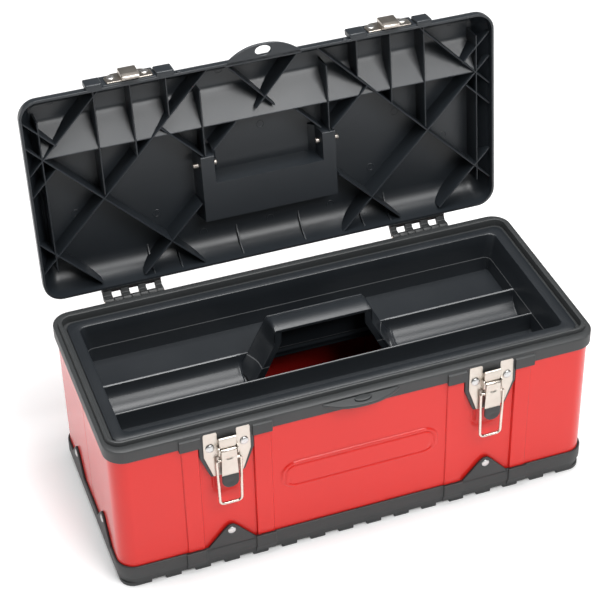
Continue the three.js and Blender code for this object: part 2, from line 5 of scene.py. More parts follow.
import bmesh
import bpy
import numpy as np
from mathutils import Matrix, Vector


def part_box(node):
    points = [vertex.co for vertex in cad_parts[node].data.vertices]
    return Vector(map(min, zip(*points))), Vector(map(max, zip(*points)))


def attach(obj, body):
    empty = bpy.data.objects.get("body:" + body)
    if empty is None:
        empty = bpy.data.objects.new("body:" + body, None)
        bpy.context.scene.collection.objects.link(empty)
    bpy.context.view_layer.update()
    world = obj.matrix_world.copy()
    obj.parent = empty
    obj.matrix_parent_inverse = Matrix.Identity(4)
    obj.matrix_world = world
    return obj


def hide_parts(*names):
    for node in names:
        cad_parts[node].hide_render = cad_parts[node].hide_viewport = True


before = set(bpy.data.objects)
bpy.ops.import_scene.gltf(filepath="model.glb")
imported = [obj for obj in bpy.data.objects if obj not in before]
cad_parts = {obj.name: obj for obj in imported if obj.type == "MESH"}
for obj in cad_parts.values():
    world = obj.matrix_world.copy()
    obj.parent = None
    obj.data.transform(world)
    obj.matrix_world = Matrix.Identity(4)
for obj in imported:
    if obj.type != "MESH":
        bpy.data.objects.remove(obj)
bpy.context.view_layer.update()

MM = 0.001
TAU = 2 * math.pi


# ---------------------------------------------------------------- camera, light and floor
def make_camera():
    """A long lens looking down on the box from its front left, rolled a little to the left."""
    azimuth, elevation, roll = math.radians(-18.81), math.radians(37.47), math.radians(-1.44)
    distance, aim = 1.838, Vector((-0.0211, 0.0, 0.2185))
    back = Vector((math.cos(elevation) * math.sin(azimuth),
                   -math.cos(elevation) * math.cos(azimuth), math.sin(elevation)))
    level = (-back).cross(Vector((0, 0, 1))).normalized()
    upright = level.cross(-back)
    right = math.cos(roll) * level + math.sin(roll) * upright
    up = math.cos(roll) * upright - math.sin(roll) * level
    data = bpy.data.cameras.new("camera")
    data.lens, data.sensor_width = 110.3, 36.0
    data.clip_start, data.clip_end = 0.05, 50.0
    camera = bpy.data.objects.new("camera", data)
    bpy.context.scene.collection.objects.link(camera)
    camera.matrix_world = Matrix((
        (right.x, up.x, back.x, 0), (right.y, up.y, back.y, 0), (right.z, up.z, back.z, 0), (0, 0, 0, 1)))
    camera.location = aim + distance * back
    bpy.context.scene.camera = camera


def area_light(name, place, aim, size, power):
    data = bpy.data.lights.new(name, "AREA")
    data.shape, data.size, data.size_y = "RECTANGLE", size[0], size[1]
    data.energy = power
    lamp = bpy.data.objects.new(name, data)
    bpy.context.scene.collection.objects.link(lamp)
    lamp.location = place
    lamp.rotation_mode = "QUATERNION"
    lamp.rotation_quaternion = (Vector(aim) - Vector(place)).to_track_quat("-Z", "Y")


def make_studio():
    """Pale surroundings, a broad soft key from above the camera, and softer panels overhead and at the left."""
    world = bpy.data.worlds.new("studio")
    world.use_nodes = True
    world.node_tree.nodes["Background"].inputs["Color"].default_value = (1, 1, 1, 1)
    world.node_tree.nodes["Background"].inputs["Strength"].default_value = 0.15
    bpy.context.scene.world = world
    area_light("key", (0.5, -1.25, 1.75), (0, 0.05, 0.2), (1.1, 0.7), 30)
    area_light("overhead", (0.0, 0.1, 1.7), (0, 0, 0.2), (1.4, 0.8), 34)
    area_light("left", (-1.9, 0.3, 0.8), (0, 0, 0.15), (0.9, 0.9), 6)
    bpy.context.scene.view_settings.view_transform = "Standard"


# ---------------------------------------------------------------- surfaces worked out as arrays
def ease(start, end, value):
    """0 before start, 1 after end, and a smooth S between them."""
    t = np.clip((np.asarray(value, float) - start) / (end - start), 0, 1)
    return t * t * (3 - 2 * t)


def band(value, low, high, soft):
    """1 between low and high, falling to 0 over the soft width at each side."""
    return ease(low - soft / 2, low + soft / 2, value) - ease(high - soft / 2, high + soft / 2, value)


def smooth_min(a, b, soft):
    """The smaller of two, with the corner between them rounded over the soft height."""
    h = np.clip(0.5 + 0.5 * (b - a) / soft, 0, 1)
    return b * (1 - h) + a * h - soft * h * (1 - h)


def smooth_max(a, b, soft):
    return -smooth_min(-a, -b, soft)


def stations(low, high, coarse, fine=(), step=0.8):
    """Places from low to high, coarse apart, and step apart within each fine stretch."""
    runs = [np.linspace(low, high, max(2, round((high - low) / coarse) + 1))]
    runs += [np.arange(max(low, a), min(high, b), step) for a, b in fine]
    places = np.unique(np.round(np.concatenate(runs), 4))
    kept = places[np.concatenate([[True], np.diff(places) > 0.4 * step])]
    kept[-1] = high
    return kept


def mirrored(stretches):
    return [(-b, -a) for a, b in stretches] + list(stretches)


class Surface:
    """Grids and caps of one piece, in millimetres; piece() makes them one mesh in metres."""

    def __init__(self):
        self.points, self.quads, self.caps, self.count = [], [], [], 0

    def add(self, points):
        points = np.asarray(points, float)
        index = np.arange(self.count, self.count + points.size // 3).reshape(points.shape[:-1])
        self.points.append(points.reshape(-1, 3))
        self.count += points.size // 3
        return index

    def weave(self, index, wrap_rows=False, wrap_columns=False, keep=None):
        """Joins neighbouring rows and columns with four-sided faces, leaving out those keep marks False."""
        if wrap_rows:
            index = np.vstack([index, index[:1]])
        if wrap_columns:
            index = np.hstack([index, index[:, :1]])
        faces = np.stack([index[:-1, :-1], index[:-1, 1:], index[1:, 1:], index[1:, :-1]], -1)
        self.quads.append(faces.reshape(-1, 4) if keep is None else faces[keep])

    def grid(self, points, wrap_rows=False, wrap_columns=False, keep=None):
        index = self.add(points)
        self.weave(index, wrap_rows, wrap_columns, keep)
        return index

    def cap(self, index):
        self.caps.append(index.tolist())

    def closed_rows(self, points):
        """Rings, one per row, closed round and capped at both ends."""
        index = self.grid(points, wrap_columns=True)
        self.cap(index[0])
        self.cap(index[-1])

    def piece(self, name, body, slot, material, replaces=(), sharp=32, on_lid=False):
        """One object of this surface: doubled points merged, faces turned outwards, creases kept sharp."""
        points = np.concatenate(self.points)
        if on_lid:
            points = open_lid(points)
        faces = np.concatenate(self.quads).tolist() if self.quads else []
        mesh = bpy.data.meshes.new(name)
        mesh.from_pydata((points * MM).tolist(), [], faces + self.caps)
        work = bmesh.new()
        work.from_mesh(mesh)
        bmesh.ops.remove_doubles(work, verts=work.verts, dist=4e-6)
        bmesh.ops.recalc_face_normals(work, faces=work.faces)
        work.to_mesh(mesh)
        work.free()
        mesh.shade_smooth()
        mesh.set_sharp_from_angle(angle=math.radians(sharp))
        made = bpy.data.objects.new(name, mesh)
        bpy.context.scene.collection.objects.link(made)
        mesh.materials.append(material)
        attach(made, body)
        if replaces:
            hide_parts(*replaces)
        return made


def laid(points, height, axis):
    """Puts outline points (a, b) at a height: axis z keeps them in X and Y, y in X and Z, x in Y and Z."""
    a, b = points[..., 0], points[..., 1]
    h = np.broadcast_to(height, a.shape)
    return np.stack({"z": (a, b, h), "y": (a, h, b), "x": (h, a, b)}[axis], -1)


def rounded(corners, radius, steps=5):
    """An outline whose corners are arcs that touch both sides; one radius, or one for each corner."""
    corners = np.asarray(corners, float)
    radius = np.broadcast_to(radius, len(corners)).astype(float)
    before, after = np.roll(corners, 1, 0) - corners, np.roll(corners, -1, 0) - corners
    long_before, long_after = np.linalg.norm(before, axis=1), np.linalg.norm(after, axis=1)
    a, b = before / long_before[:, None], after / long_after[:, None]
    half = np.arccos(np.clip((a * b).sum(1), -0.9999, 0.9999)) / 2
    run = np.minimum(radius / np.tan(half), 0.49 * np.minimum(long_before, long_after))
    radius = run * np.tan(half)
    middle = a + b
    centre = corners + middle / np.linalg.norm(middle, axis=1)[:, None] * (radius / np.sin(half))[:, None]
    start, end = corners + a * run[:, None] - centre, corners + b * run[:, None] - centre
    turn = (math.pi - 2 * half)[:, None, None]
    t = np.linspace(0, 1, steps)[None, :, None]
    arc = (np.sin((1 - t) * turn) * start[:, None] + np.sin(t * turn) * end[:, None]) / np.sin(turn)
    return (centre[:, None] + arc).reshape(-1, 2)


def drawn_in(outline, distance):
    """An outline moved inwards, each point along the mitre of its two sides; outlines run anticlockwise."""
    side = np.roll(outline, -1, 0) - outline
    side /= np.maximum(np.linalg.norm(side, axis=1), 1e-9)[:, None]
    inward = np.stack([-side[:, 1], side[:, 0]], -1)
    last = np.roll(inward, 1, 0)
    mitre = (inward + last) / np.maximum(1 + (inward * last).sum(1), 0.4)[:, None]
    return outline + distance * mitre


def anticlockwise(outline):
    x, y = outline[:, 0], outline[:, 1]
    area = (x * np.roll(y, -1) - np.roll(x, -1) * y).sum()
    return outline if area > 0 else outline[::-1]


def slab(surface, outline, low, high, edge, axis, steps=3):
    """An outline given thickness from low to high, both rims rounded with a quarter circle of radius edge."""
    outline = anticlockwise(np.asarray(outline, float))
    angle = np.linspace(0, math.pi / 2, steps + 1)
    inset = edge * (1 - np.sin(angle))
    rise = edge * (1 - np.cos(angle))
    rows = [laid(drawn_in(outline, d), low + r, axis) for d, r in zip(inset, rise)]
    rows += [laid(drawn_in(outline, d), high - r, axis) for d, r in zip(inset[::-1], rise[::-1])]
    surface.closed_rows(np.array(rows))


def box_outline(a0, a1, b0, b1, radius, steps=4):
    return rounded([(a0, b0), (a1, b0), (a1, b1), (a0, b1)], radius, steps)


def tube(surface, path, radius, across, sides=12):
    """A round bar along a flat path; across is the direction square to the path's plane."""
    path, across = np.asarray(path, float), np.asarray(across, float)
    along = np.gradient(path, axis=0)
    along /= np.linalg.norm(along, axis=1)[:, None]
    other = np.cross(along, across)
    angle = np.linspace(0, TAU, sides, endpoint=False)[None, :, None]
    rows = path[:, None] + radius * (np.cos(angle) * across + np.sin(angle) * other[:, None])
    surface.closed_rows(rows)


def turned(surface, profile, centre, axis, sides=24):
    """A profile of (radius, height) pairs turned about an axis through centre; height runs along the axis."""
    axis = np.asarray(axis, float)
    first = np.cross(axis, (0.3, 0.5, 0.8))
    first /= np.linalg.norm(first)
    second = np.cross(axis, first)
    angle = np.linspace(0, TAU, sides, endpoint=False)[None, :, None]
    radius, height = np.array(profile, float).T[:, :, None, None]
    rows = np.asarray(centre, float) + height * axis + radius * (np.cos(angle) * first + np.sin(angle) * second)
    surface.closed_rows(rows)


# ---------------------------------------------------------------- rounded rings and panels
def ring(half_x, low_y, high_y, radius, xs, ys, arc=6):
    """Rounded rectangles seen from above, one per row: the front side at the stations xs, a corner arc,
    the right side at ys, and so on round. Returns the points and each column's outward direction."""
    rows = np.broadcast_arrays(*[np.atleast_1d(np.asarray(v, float)) for v in (half_x, low_y, high_y, radius)])
    half_x, low_y, high_y, radius = [v[:, None] for v in rows]
    quarter = np.linspace(0, math.pi / 2, 2 * arc + 1)

    def corner(x, y, start):
        angle = start + quarter
        return np.stack([x + radius * np.cos(angle), y + radius * np.sin(angle)], -1)

    def side(x, y):
        x, y = np.broadcast_arrays(x + 0 * half_x, y + 0 * half_x)
        return np.stack([x, y], -1)

    right, low, high = half_x - radius, low_y + radius, high_y - radius
    parts = [side(xs[None], low_y), corner(right, low, -math.pi / 2), side(half_x, ys[None]),
             corner(right, high, 0), side(xs[None, ::-1], high_y), corner(-right, high, math.pi / 2),
             side(-half_x, ys[None, ::-1]), corner(-right, low, math.pi)]
    turn = [np.full(len(xs), -math.pi / 2), -math.pi / 2 + quarter, np.zeros(len(ys)), quarter,
            np.full(len(xs), math.pi / 2), math.pi / 2 + quarter, np.full(len(ys), math.pi), math.pi + quarter]
    turn = np.concatenate(turn)
    return np.concatenate(parts, 1), np.stack([np.cos(turn), np.sin(turn)], -1)


def filling(outline, xs, ys, arc=6):
    """The panel inside one ring: a net of columns and rows blended between the ring's four sides."""
    columns, rows = len(xs) + 2 * arc + 2, len(ys) + 2 * arc + 2
    start = np.roll(outline, arc + 1, 0)
    bottom = start[:columns]
    right = start[columns - 1:columns - 1 + rows]
    top = start[columns + rows - 2:2 * columns + rows - 2][::-1]
    left = np.concatenate([start[2 * columns + rows - 3:], start[:1]])[::-1]
    a = ((bottom[:, 0] - bottom[0, 0]) / (bottom[-1, 0] - bottom[0, 0]))[None, :, None]
    b = ((right[:, 1] - right[0, 1]) / (right[-1, 1] - right[0, 1]))[:, None, None]
    corners = ((1 - a) * (1 - b) * bottom[0] + a * (1 - b) * bottom[-1] + (1 - a) * b * top[0] + a * b * top[-1])
    return (1 - b) * bottom[None] + b * top[None] + (1 - a) * left[:, None] + a * right[:, None] - corners


def raised(outline, height):
    """Points in X and Y given their height."""
    return np.concatenate([outline, np.broadcast_to(height, outline.shape[:-1])[..., None]], -1)


# ---------------------------------------------------------------- materials
class Value:
    """A shader socket; arithmetic on it adds Math nodes."""

    def __init__(self, paint, socket):
        self.paint, self.socket = paint, socket

    def math(self, operation, *values):
        return self.paint.node("ShaderNodeMath", {"operation": operation}, *values)

    def positive(self):
        return self.math("MAXIMUM", self, 0.0)

    def __add__(self, other):
        return self.math("ADD", self, other)

    def __radd__(self, other):
        return self.math("ADD", other, self)

    def __sub__(self, other):
        return self.math("SUBTRACT", self, other)

    def __rsub__(self, other):
        return self.math("SUBTRACT", other, self)

    def __mul__(self, other):
        return self.math("MULTIPLY", self, other)

    def __rmul__(self, other):
        return self.math("MULTIPLY", other, self)

    def __truediv__(self, other):
        return self.math("DIVIDE", self, other)

    def __pow__(self, other):
        return self.math("POWER", self, other)


class Paint:
    """One material: its shader, and the nodes that vary its colour, roughness and bump."""

    def __init__(self, name, **fixed):
        self.material = bpy.data.materials.new(name)
        self.material.use_nodes = True
        self.tree = self.material.node_tree
        self.shader = self.tree.nodes["Principled BSDF"]
        for socket, value in fixed.items():
            self.shader.inputs[socket.replace("_", " ")].default_value = value
        self.place = self.node("ShaderNodeTexCoord", {}, out="Object")

    def node(self, kind, settings, *values, out=0, **named):
        made = self.tree.nodes.new(kind)
        stops = settings.pop("stops", None)
        for key, value in settings.items():
            setattr(made, key, value)
        if stops:
            for element, (position, colour) in zip(made.color_ramp.elements, stops):
                element.position, element.color = position, (*colour, 1)
        for key, value in [*enumerate(values), *named.items()]:
            self.join(made.inputs[key], value)
        return Value(self, made.outputs[out])

    def join(self, socket, value):
        if isinstance(value, Value):
            self.tree.links.new(value.socket, socket)
        else:
            socket.default_value = value

    def drive(self, socket, value):
        self.join(self.shader.inputs[socket], value)

    def noise(self, scale, detail=2.0, roughness=0.5, stretch=None):
        """Soft noise between 0 and 1; scale is in waves to a metre."""
        place = self.place
        if stretch:
            place = self.node("ShaderNodeMapping", {}, self.place, Scale=stretch)
        return self.node("ShaderNodeTexNoise", {}, Vector=place, Scale=scale, Detail=detail, Roughness=roughness)

    def blend(self, factor, first, second):
        """From the first colour to the second."""
        made = self.tree.nodes.new("ShaderNodeMix")
        made.data_type = "RGBA"
        self.join(made.inputs[0], factor)
        for index, colour in ((6, first), (7, second)):
            self.join(made.inputs[index], colour if isinstance(colour, Value) else (*colour, 1))
        return Value(self, made.outputs[2])

    def bump(self, height, strength, distance):
        self.drive("Normal", self.node("ShaderNodeBump", {}, Height=height, Strength=strength, Distance=distance))


def powder_coat():
    """Bright red powder coat: an even colour, a faint orange peel and a soft gloss."""
    paint = Paint("red_powder_coat", Coat_Weight=0.7, Coat_IOR=1.25, Coat_Roughness=0.12, Specular_IOR_Level=0.24)
    cloud = paint.noise(9.0, 3.0)
    speck = paint.noise(1500.0, 1.0)
    paint.drive("Base Color", paint.blend(cloud * 0.8 + speck * 0.2, (0.60, 0.015, 0.011), (0.68, 0.021, 0.015)))
    paint.drive("Roughness", 0.34 + 0.10 * cloud)
    paint.bump(paint.noise(420.0, 2.0) * 0.7 + speck * 0.3, 0.16, 0.0004)
    return paint.material


def moulded(name, dark, light, gloss, grain, relief, edges=()):
    """Injection-moulded plastic: a fine even grain, with colour and gloss that drift a little, and paler
    bands of painted highlight along raised edges, each given by its height and half its width."""
    paint = Paint(name, Specular_IOR_Level=0.5)
    cloud = paint.noise(14.0, 3.0)
    fine = paint.noise(grain, 2.0, 0.6)
    colour = paint.blend(cloud * 0.6 + fine * 0.4, dark, light)
    if edges:
        height = paint.node("ShaderNodeSeparateXYZ", {}, paint.place, out=2)
        # Painted highlight: a paler band at each given height, standing in for light caught on a raised edge.
        painted_highlight = 0.0
        for level, half in edges:
            away = (height - level) / half
            painted_highlight = painted_highlight + (1 - away * away).positive()
        colour = paint.blend(painted_highlight * (0.55 + 0.45 * cloud), colour, (0.16, 0.165, 0.17))
    paint.drive("Base Color", colour)
    paint.drive("Roughness", gloss + 0.14 * cloud + 0.08 * fine)
    paint.bump(fine, relief, 0.0003)
    return paint.material


def plated(name, dull, bright, gloss, metallic=1.0):
    """Nickel-plated steel: a warm bright metal, faintly clouded, with fine marks along its length."""
    paint = Paint(name, Metallic=metallic)
    cloud = paint.noise(60.0, 4.0, 0.6)
    lines = paint.noise(900.0, 2.0, stretch=(1, 1, 0.08))
    paint.drive("Base Color", paint.blend(cloud, dull, bright))
    paint.drive("Roughness", gloss + 0.12 * cloud + 0.08 * lines)
    paint.bump(lines * 0.6 + cloud * 0.4, 0.08, 0.0003)
    return paint.material


RED = powder_coat()
LID_BLACK = moulded("lid_black_plastic", (0.0105, 0.0132, 0.0165), (0.0175, 0.0215, 0.026), 0.27, 1100.0, 0.10)
# The tray's plastic carries a painted highlight: a paler band at a height of 150.3 mm, where the dividers' crests
# run.
TRAY_BLACK = moulded("tray_black_plastic_with_painted_highlight", (0.0085, 0.0105, 0.013), (0.0145, 0.0175, 0.021), 0.27, 1000.0, 0.10,
                     ((0.1503, 0.0007),))
COLLAR_BLACK = moulded("collar_black_plastic", (0.018, 0.020, 0.021), (0.030, 0.032, 0.033), 0.40, 900.0, 0.16)
BASE_BLACK = moulded("base_black_plastic", (0.020, 0.0215, 0.022), (0.032, 0.034, 0.035), 0.42, 900.0, 0.16)
HINGE_BLACK = moulded("hinge_black_plastic", (0.009, 0.010, 0.0105), (0.016, 0.0175, 0.018), 0.38, 900.0, 0.12)
GRIP_BLACK = moulded("grip_black_plastic", (0.009, 0.010, 0.0105), (0.016, 0.0175, 0.018), 0.34, 1200.0, 0.10)
NICKEL = plated("nickel_plate", (0.44, 0.39, 0.34), (0.62, 0.58, 0.53), 0.22)
WIRE_STEEL = plated("wire_steel", (0.50, 0.44, 0.38), (0.68, 0.63, 0.57), 0.18)
RIVET_STEEL = plated("rivet_steel", (0.46, 0.46, 0.46), (0.62, 0.62, 0.61), 0.26)


# ---------------------------------------------------------------- steel body
RIBS = (92.5, 110.4, 165.8, 182.9)
LATCH_X = 138.0


def body_relief(x, z, front):
    """How far the long walls stand out: the four ribs, the sunk latch bays, and on the front the pads and pill."""
    side = np.abs(x)
    out = 1.5 * (band(side, RIBS[0], RIBS[1], 0.9) + band(side, RIBS[2], RIBS[3], 0.9))
    out = out - 1.3 * band(side, RIBS[1], RIBS[2], 0.9)
    out = out * ease(24, 26, z) * (1 - ease(167, 168.5, z))
    if front:
        pad = band(side, LATCH_X - 15.5, LATCH_X + 15.5, 1.6) * band(z, 104, 122, 1.6)
        pill = np.hypot(np.maximum(np.abs(x) - 67.3, 0), z - 95.5) - 17
        out = out + 1.6 * pad + 1.5 * (1 - ease(-1.4, 0.2, pill)) - 1.0 * np.exp(-((pill + 4.4) / 0.8) ** 2)
    return out


def make_body_shell():
    """The pressed red tube: one ring of stations carried up the outside and down the inside."""
    edges = [(e - 1.0, e + 1.0) for e in RIBS] + [(121.4, 124.0), (152.0, 154.6)]
    xs = stations(-234, 234, 7, mirrored(edges + [(66, 86)]), 0.55)
    ys = stations(-94, 94, 9, [(-1.5, 1.5)], 0.4)
    zs = stations(8.5, 168.5, 7, [(76, 86), (102.6, 115), (120.4, 123.6)], 0.65)
    zs_in = stations(8.5, 168.5, 20)[::-1]
    up = np.concatenate([zs, zs_in])
    skin = np.concatenate([0 * zs, 0 * zs_in + 1.4])
    points, outward = ring(252 - skin, -112 + skin, 112 - skin, 18 - skin, xs, ys)
    x, z = points[..., 0], np.broadcast_to(up[:, None], points.shape[:-1])
    front, rear = outward[:, 1] < -0.99, outward[:, 1] > 0.99
    relief = body_relief(x, z, True) * front + body_relief(x, z, False) * rear
    seam = np.exp(-((points[..., 1] + 2) / 0.5) ** 2) * (np.abs(outward[:, 0]) > 0.99)
    relief = relief - 0.6 * seam
    shell = Surface()
    shell.grid(raised(points + relief[..., None] * outward, z), wrap_rows=True, wrap_columns=True)
    shell.piece("pressed_body", "box", "red_paint", RED, ("body_shell", "front_badge"), sharp=30)


# ---------------------------------------------------------------- plastic base
def peak_outline(centre):
    foot, top, shoulder = 25, 51.5, 7
    corners = [(centre - foot - 2, 24), (centre + foot + 2, 24), (centre + foot, 27), (centre + shoulder, top - 4),
               (centre + 2.5, top), (centre - 2.5, top), (centre - shoulder, top - 4), (centre - foot, 27)]
    return rounded(corners, [1, 1, 5, 6, 2.5, 2.5, 6, 5], 5)


def make_base():
    """The moulded base: rings carried up the outside and over the lip, with feet below and peaks above."""
    edges = [(90, 93), (111, 114), (163, 166), (184, 187)]
    xs = stations(-234, 234, 9, mirrored(edges), 0.6)
    ys = stations(-94, 94, 12)
    profile = np.array([  # inset, height
        (4.2, 3.5), (2.6, 3.7), (2.1, 4.3), (2, 10.6), (1.6, 11.4), (0.4, 12), (0, 12.8), (0, 25.4), (0.25, 26.4),
        (0.9, 27), (2.0, 27), (2.3, 26.6), (2.3, 9.2), (3.2, 8)])
    inset, z = profile.T
    points, outward = ring(254.5 - inset, -114.5 + inset, 114.5 - inset, 20.5 - inset, xs, ys)
    side = np.abs(points[..., 0])
    over_ribs = band(side, 91.5, 112.5, 0.8) + band(side, 164.5, 185.5, 0.8)
    lip = (ease(4, 5, z) * (inset < 2.15) * (inset >= 0))[:, None]
    relief = 1.8 * over_ribs * lip * (np.abs(outward[:, 1]) > 0.99)
    base = Surface()
    base.closed_rows(raised(points + relief[..., None] * outward, z[:, None]))
    for index in range(14):
        x = (index - 6.5) * 30.7
        slab(base, box_outline(x - 8.2, x + 8.2, -112.4, 112.4, 1.0, 3), 0, 4.5, 0.4, "z", 2)
    for side in (-1, 1):
        inner, outer = sorted((side * 222.1, side * 252))
        corners = [(inner, -112.2), (outer, -112.2), (outer, 112.2), (inner, 112.2)]
        round_off = [1, 17, 17, 1] if side > 0 else [17, 1, 1, 17]
        slab(base, rounded(corners, round_off, 7), 0, 4.5, 0.5, "z", 2)
        for face in (-1, 1):
            low, high = sorted((face * 114.5, face * 112.1))
            slab(base, peak_outline(side * 137.6), low, high, 0.8, "y")
            low, high = sorted((side * 254.5, side * 252.1))
            slab(base, peak_outline(face * 52), low, high, 0.8, "x")
    base.piece("moulded_base", "box", "base_plastic", BASE_BLACK, ("base_moulding",))


# ---------------------------------------------------------------- collar round the opening
def tab_outline(half, root, nose, steps=31):
    """A smile-shaped tongue: a parabola-like curve from root out to nose, closed along the root."""
    x = np.linspace(-half, half, steps)
    y = root - (root - nose) * (1 - np.abs(x / half) ** 2.3)
    return np.concatenate([np.stack([x, y], -1), [[half, root + 3], [-half, root + 3]]])


def make_collar():
    """The moulded collar: one cross-section carried round the opening, stepping out over the ribs."""
    edges = [(90, 93.5), (110.5, 114), (162, 166), (182, 187)]
    xs = stations(-227, 227, 9, mirrored(edges), 0.6)
    ys = stations(-80, 80, 12)
    profile = np.array([  # half length, half width, corner radius, height
        (252.5, 112.5, 18.4, 171), (252.5, 112.5, 18.4, 166), (253.4, 113.4, 19, 165.8), (254.4, 114.4, 20, 166),
        (255, 115, 20.4, 166.7), (255, 115, 20.4, 174.8), (255, 115, 20.4, 175.4), (255, 115, 20.4, 176.6),
        (255, 115, 20.4, 177.2), (255, 115, 20.4, 179.6), (254.7, 114.7, 20, 180.3), (254, 114, 19.5, 180.7),
        (251.2, 107.2, 15.2, 180.8), (250.6, 106.0, 14.6, 180.4), (250.2, 105.5, 14.2, 180.4),
        (250, 105.3, 14, 180.9), (249.9, 105.2, 14, 183.6), (249.5, 104.8, 13.6, 184.6), (248.7, 104, 13, 185),
        (247.3, 102.6, 11.8, 185), (246.4, 101.7, 11, 184.6), (246, 101.3, 10.6, 183.6), (245.8, 101.1, 10.4, 177),
        (237, 89.5, 9, 177), (237, 89.5, 9, 171)])
    half_x, half_y, radius, z = profile.T
    points, outward = ring(half_x, -half_y, half_y, radius, xs, ys)
    side = np.abs(points[..., 0])
    over_ribs = (band(side, 91.5, 112, 0.9) + band(side, 164, 185.5, 0.9)) * (np.abs(outward[:, 1]) > 0.99)
    outer = (half_x > 252)[:, None]
    stepped = outer * (1 - ease(175.2, 177, z))[:, None] * (z < 178)[:, None]
    relief = 2.0 * over_ribs * stepped
    height = z[:, None] - 3.2 * over_ribs * outer * (z < 168)[:, None]
    collar = Surface()
    collar.grid(raised(points + relief[..., None] * outward, height), wrap_rows=True, wrap_columns=True)
    slab(collar, tab_outline(41.5, -114.4, -127.5), 174.5, 178.5, 1.0, "z")
    boss = np.linspace(0, TAU, 32, endpoint=False)
    boss = np.stack([8.8 * np.cos(boss), -119.8 + 4.3 * np.sin(boss)], -1)
    slab(collar, boss, 177.5, 180.4, 0.9, "z")
    for side in (-1, 1):
        x = side * LATCH_X
        backing = [(x - 17.3, 121.5), (x + 17.3, 121.5), (x + 27.5, 148.5), (x + 27.5, 168), (x - 27.5, 168),
                   (x - 27.5, 148.5)]
        slab(collar, rounded(backing, [3, 3, 4, 1, 1, 4], 4), -115, -110.4, 1.3, "y")
    collar.piece("moulded_collar", "box", "black_plastic", COLLAR_BLACK, ("top_collar",))


# ---------------------------------------------------------------- rivets
def dome(surface, place, axis, radius=4.2, rise=1.3):
    """A low turned dome: an ellipse's quarter, from its rim up to its crown."""
    angle = np.linspace(0, math.pi / 2 * 0.97, 7)
    profile = [(radius * 0.97, -0.2), *np.stack([radius * np.cos(angle), 0.1 + (rise - 0.1) * np.sin(angle)], -1)]
    turned(surface, profile, place, axis)


def make_rivets():
    """Each rivet on the box stands at its CAD node's outer face; the keepers' are placed on the shut lid."""
    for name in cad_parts:
        if "rivet" not in name:
            continue
        rivet = Surface()
        low, high = (np.array(corner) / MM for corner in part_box(name))
        if name.startswith("keeper"):
            dome(rivet, ((low[0] + high[0]) / 2, -116.3, 194), np.array([0, -1, 0]))
            rivet.piece(f"domed_{name}", "lid", "rivet_metal", RIVET_STEEL, (name,), on_lid=True)
            continue
        place, axis = (low + high) / 2, np.zeros(3)
        way = 0 if "end" in name else 1
        axis[way] = np.sign(place[way])
        place[way] = (high if axis[way] > 0 else low)[way] - 1.3 * axis[way]
        broad = name.startswith("latch")
        dome(rivet, place, axis, 4.5 if broad else 4.2, 1.7 if broad else 1.3)
        rivet.piece(f"domed_{name}", "box", "rivet_metal", RIVET_STEEL, (name,))


# ---------------------------------------------------------------- latches
def bent(corners, radius, steps=6):
    """An open path: straight runs joined by arcs."""
    arcs = rounded(corners, radius, steps).reshape(len(corners), steps, 2)
    return np.concatenate([[corners[0]], arcs[1:-1].reshape(-1, 2), [corners[-1]]])


def make_latch_plate(name, x):
    """A flat pressed plate with two ears whose tops lean back, and a raised strap between them."""
    plate = Surface()
    outline = rounded(
        [(x - 15, 123.5), (x + 15, 123.5), (x + 23.7, 150), (x + 23.7, 178), (x + 9.5, 178), (x + 9.5, 168.5),
         (x - 9.5, 168.5), (x - 9.5, 178), (x - 23.7, 178), (x - 23.7, 150)],
        [1.5, 1.5, 6, 2, 2, 1.5, 1.5, 2, 2, 6], 4)
    slab(plate, outline, -116.5, -115.3, 0.4, "y")
    points = plate.points[-1]
    points[:, 1] += 0.6 * np.maximum(points[:, 2] - 175, 0)
    slab(plate, box_outline(x - 8.8, x + 8.8, 159.3, 170.4, 1.6), -120.2, -116.2, 1.0, "y")
    roll = [(x - 8.4, 170), (x + 8.4, 170)]
    tube(plate, laid(np.array(roll), -118.6, "y"), 1.6, (0, 1, 0))
    for hand in (-1, 1):
        low, high = sorted((x + hand * 8.7, x + hand * 10.2))
        slab(plate, box_outline(-122.4, -115.6, 151, 161.4, 2.6), low, high, 0.4, "x")
    plate.piece(f"pressed_{name}", "box", "nickel_plate", NICKEL, (name,))


def make_lever(hand, x):
    """The lever's face is a thin bar of rounded sections carried down, with a pressed smile near its top."""
    z = stations(126.6, 157, 2.5, [(144, 152)], 0.6)
    half = 8.5 - 0.7 * ease(126, 150, z)
    xs = np.linspace(-6.6, 6.6, 23)
    points, outward = ring(half, -122.9, -121.6, 0.6, xs, np.array([-122.3, -122.2]), 2)
    smile = np.exp(-((z[:, None] - 147.4 - 0.06 * points[..., 0] ** 2) / 1.0) ** 2)
    smile = smile * np.exp(-(points[..., 0] / 4.6) ** 4) * (outward[:, 1] < -0.9)
    points[..., 1] += 0.8 * smile
    points[..., 0] += x
    lever = Surface()
    lever.closed_rows(raised(points, z[:, None]))
    ends = [(2.1, -8), (2.6, -7.7), (2.8, -7.1), (2.8, 7.1), (2.6, 7.7), (2.1, 8)]
    turned(lever, ends, (x, -120, 156), (1, 0, 0))
    for side in (-1, 1):
        low, high = sorted((x + side * 6.5, x + side * 7.9))
        slab(lever, rounded([(-122.4, 139), (-117.8, 143), (-117.4, 156), (-122.6, 157)], 2), low, high, 0.4, "x")
    lever.piece(f"pressed_lever_{hand}", f"lever_{hand}", "nickel_plate", NICKEL, (f"lever_{hand}",))


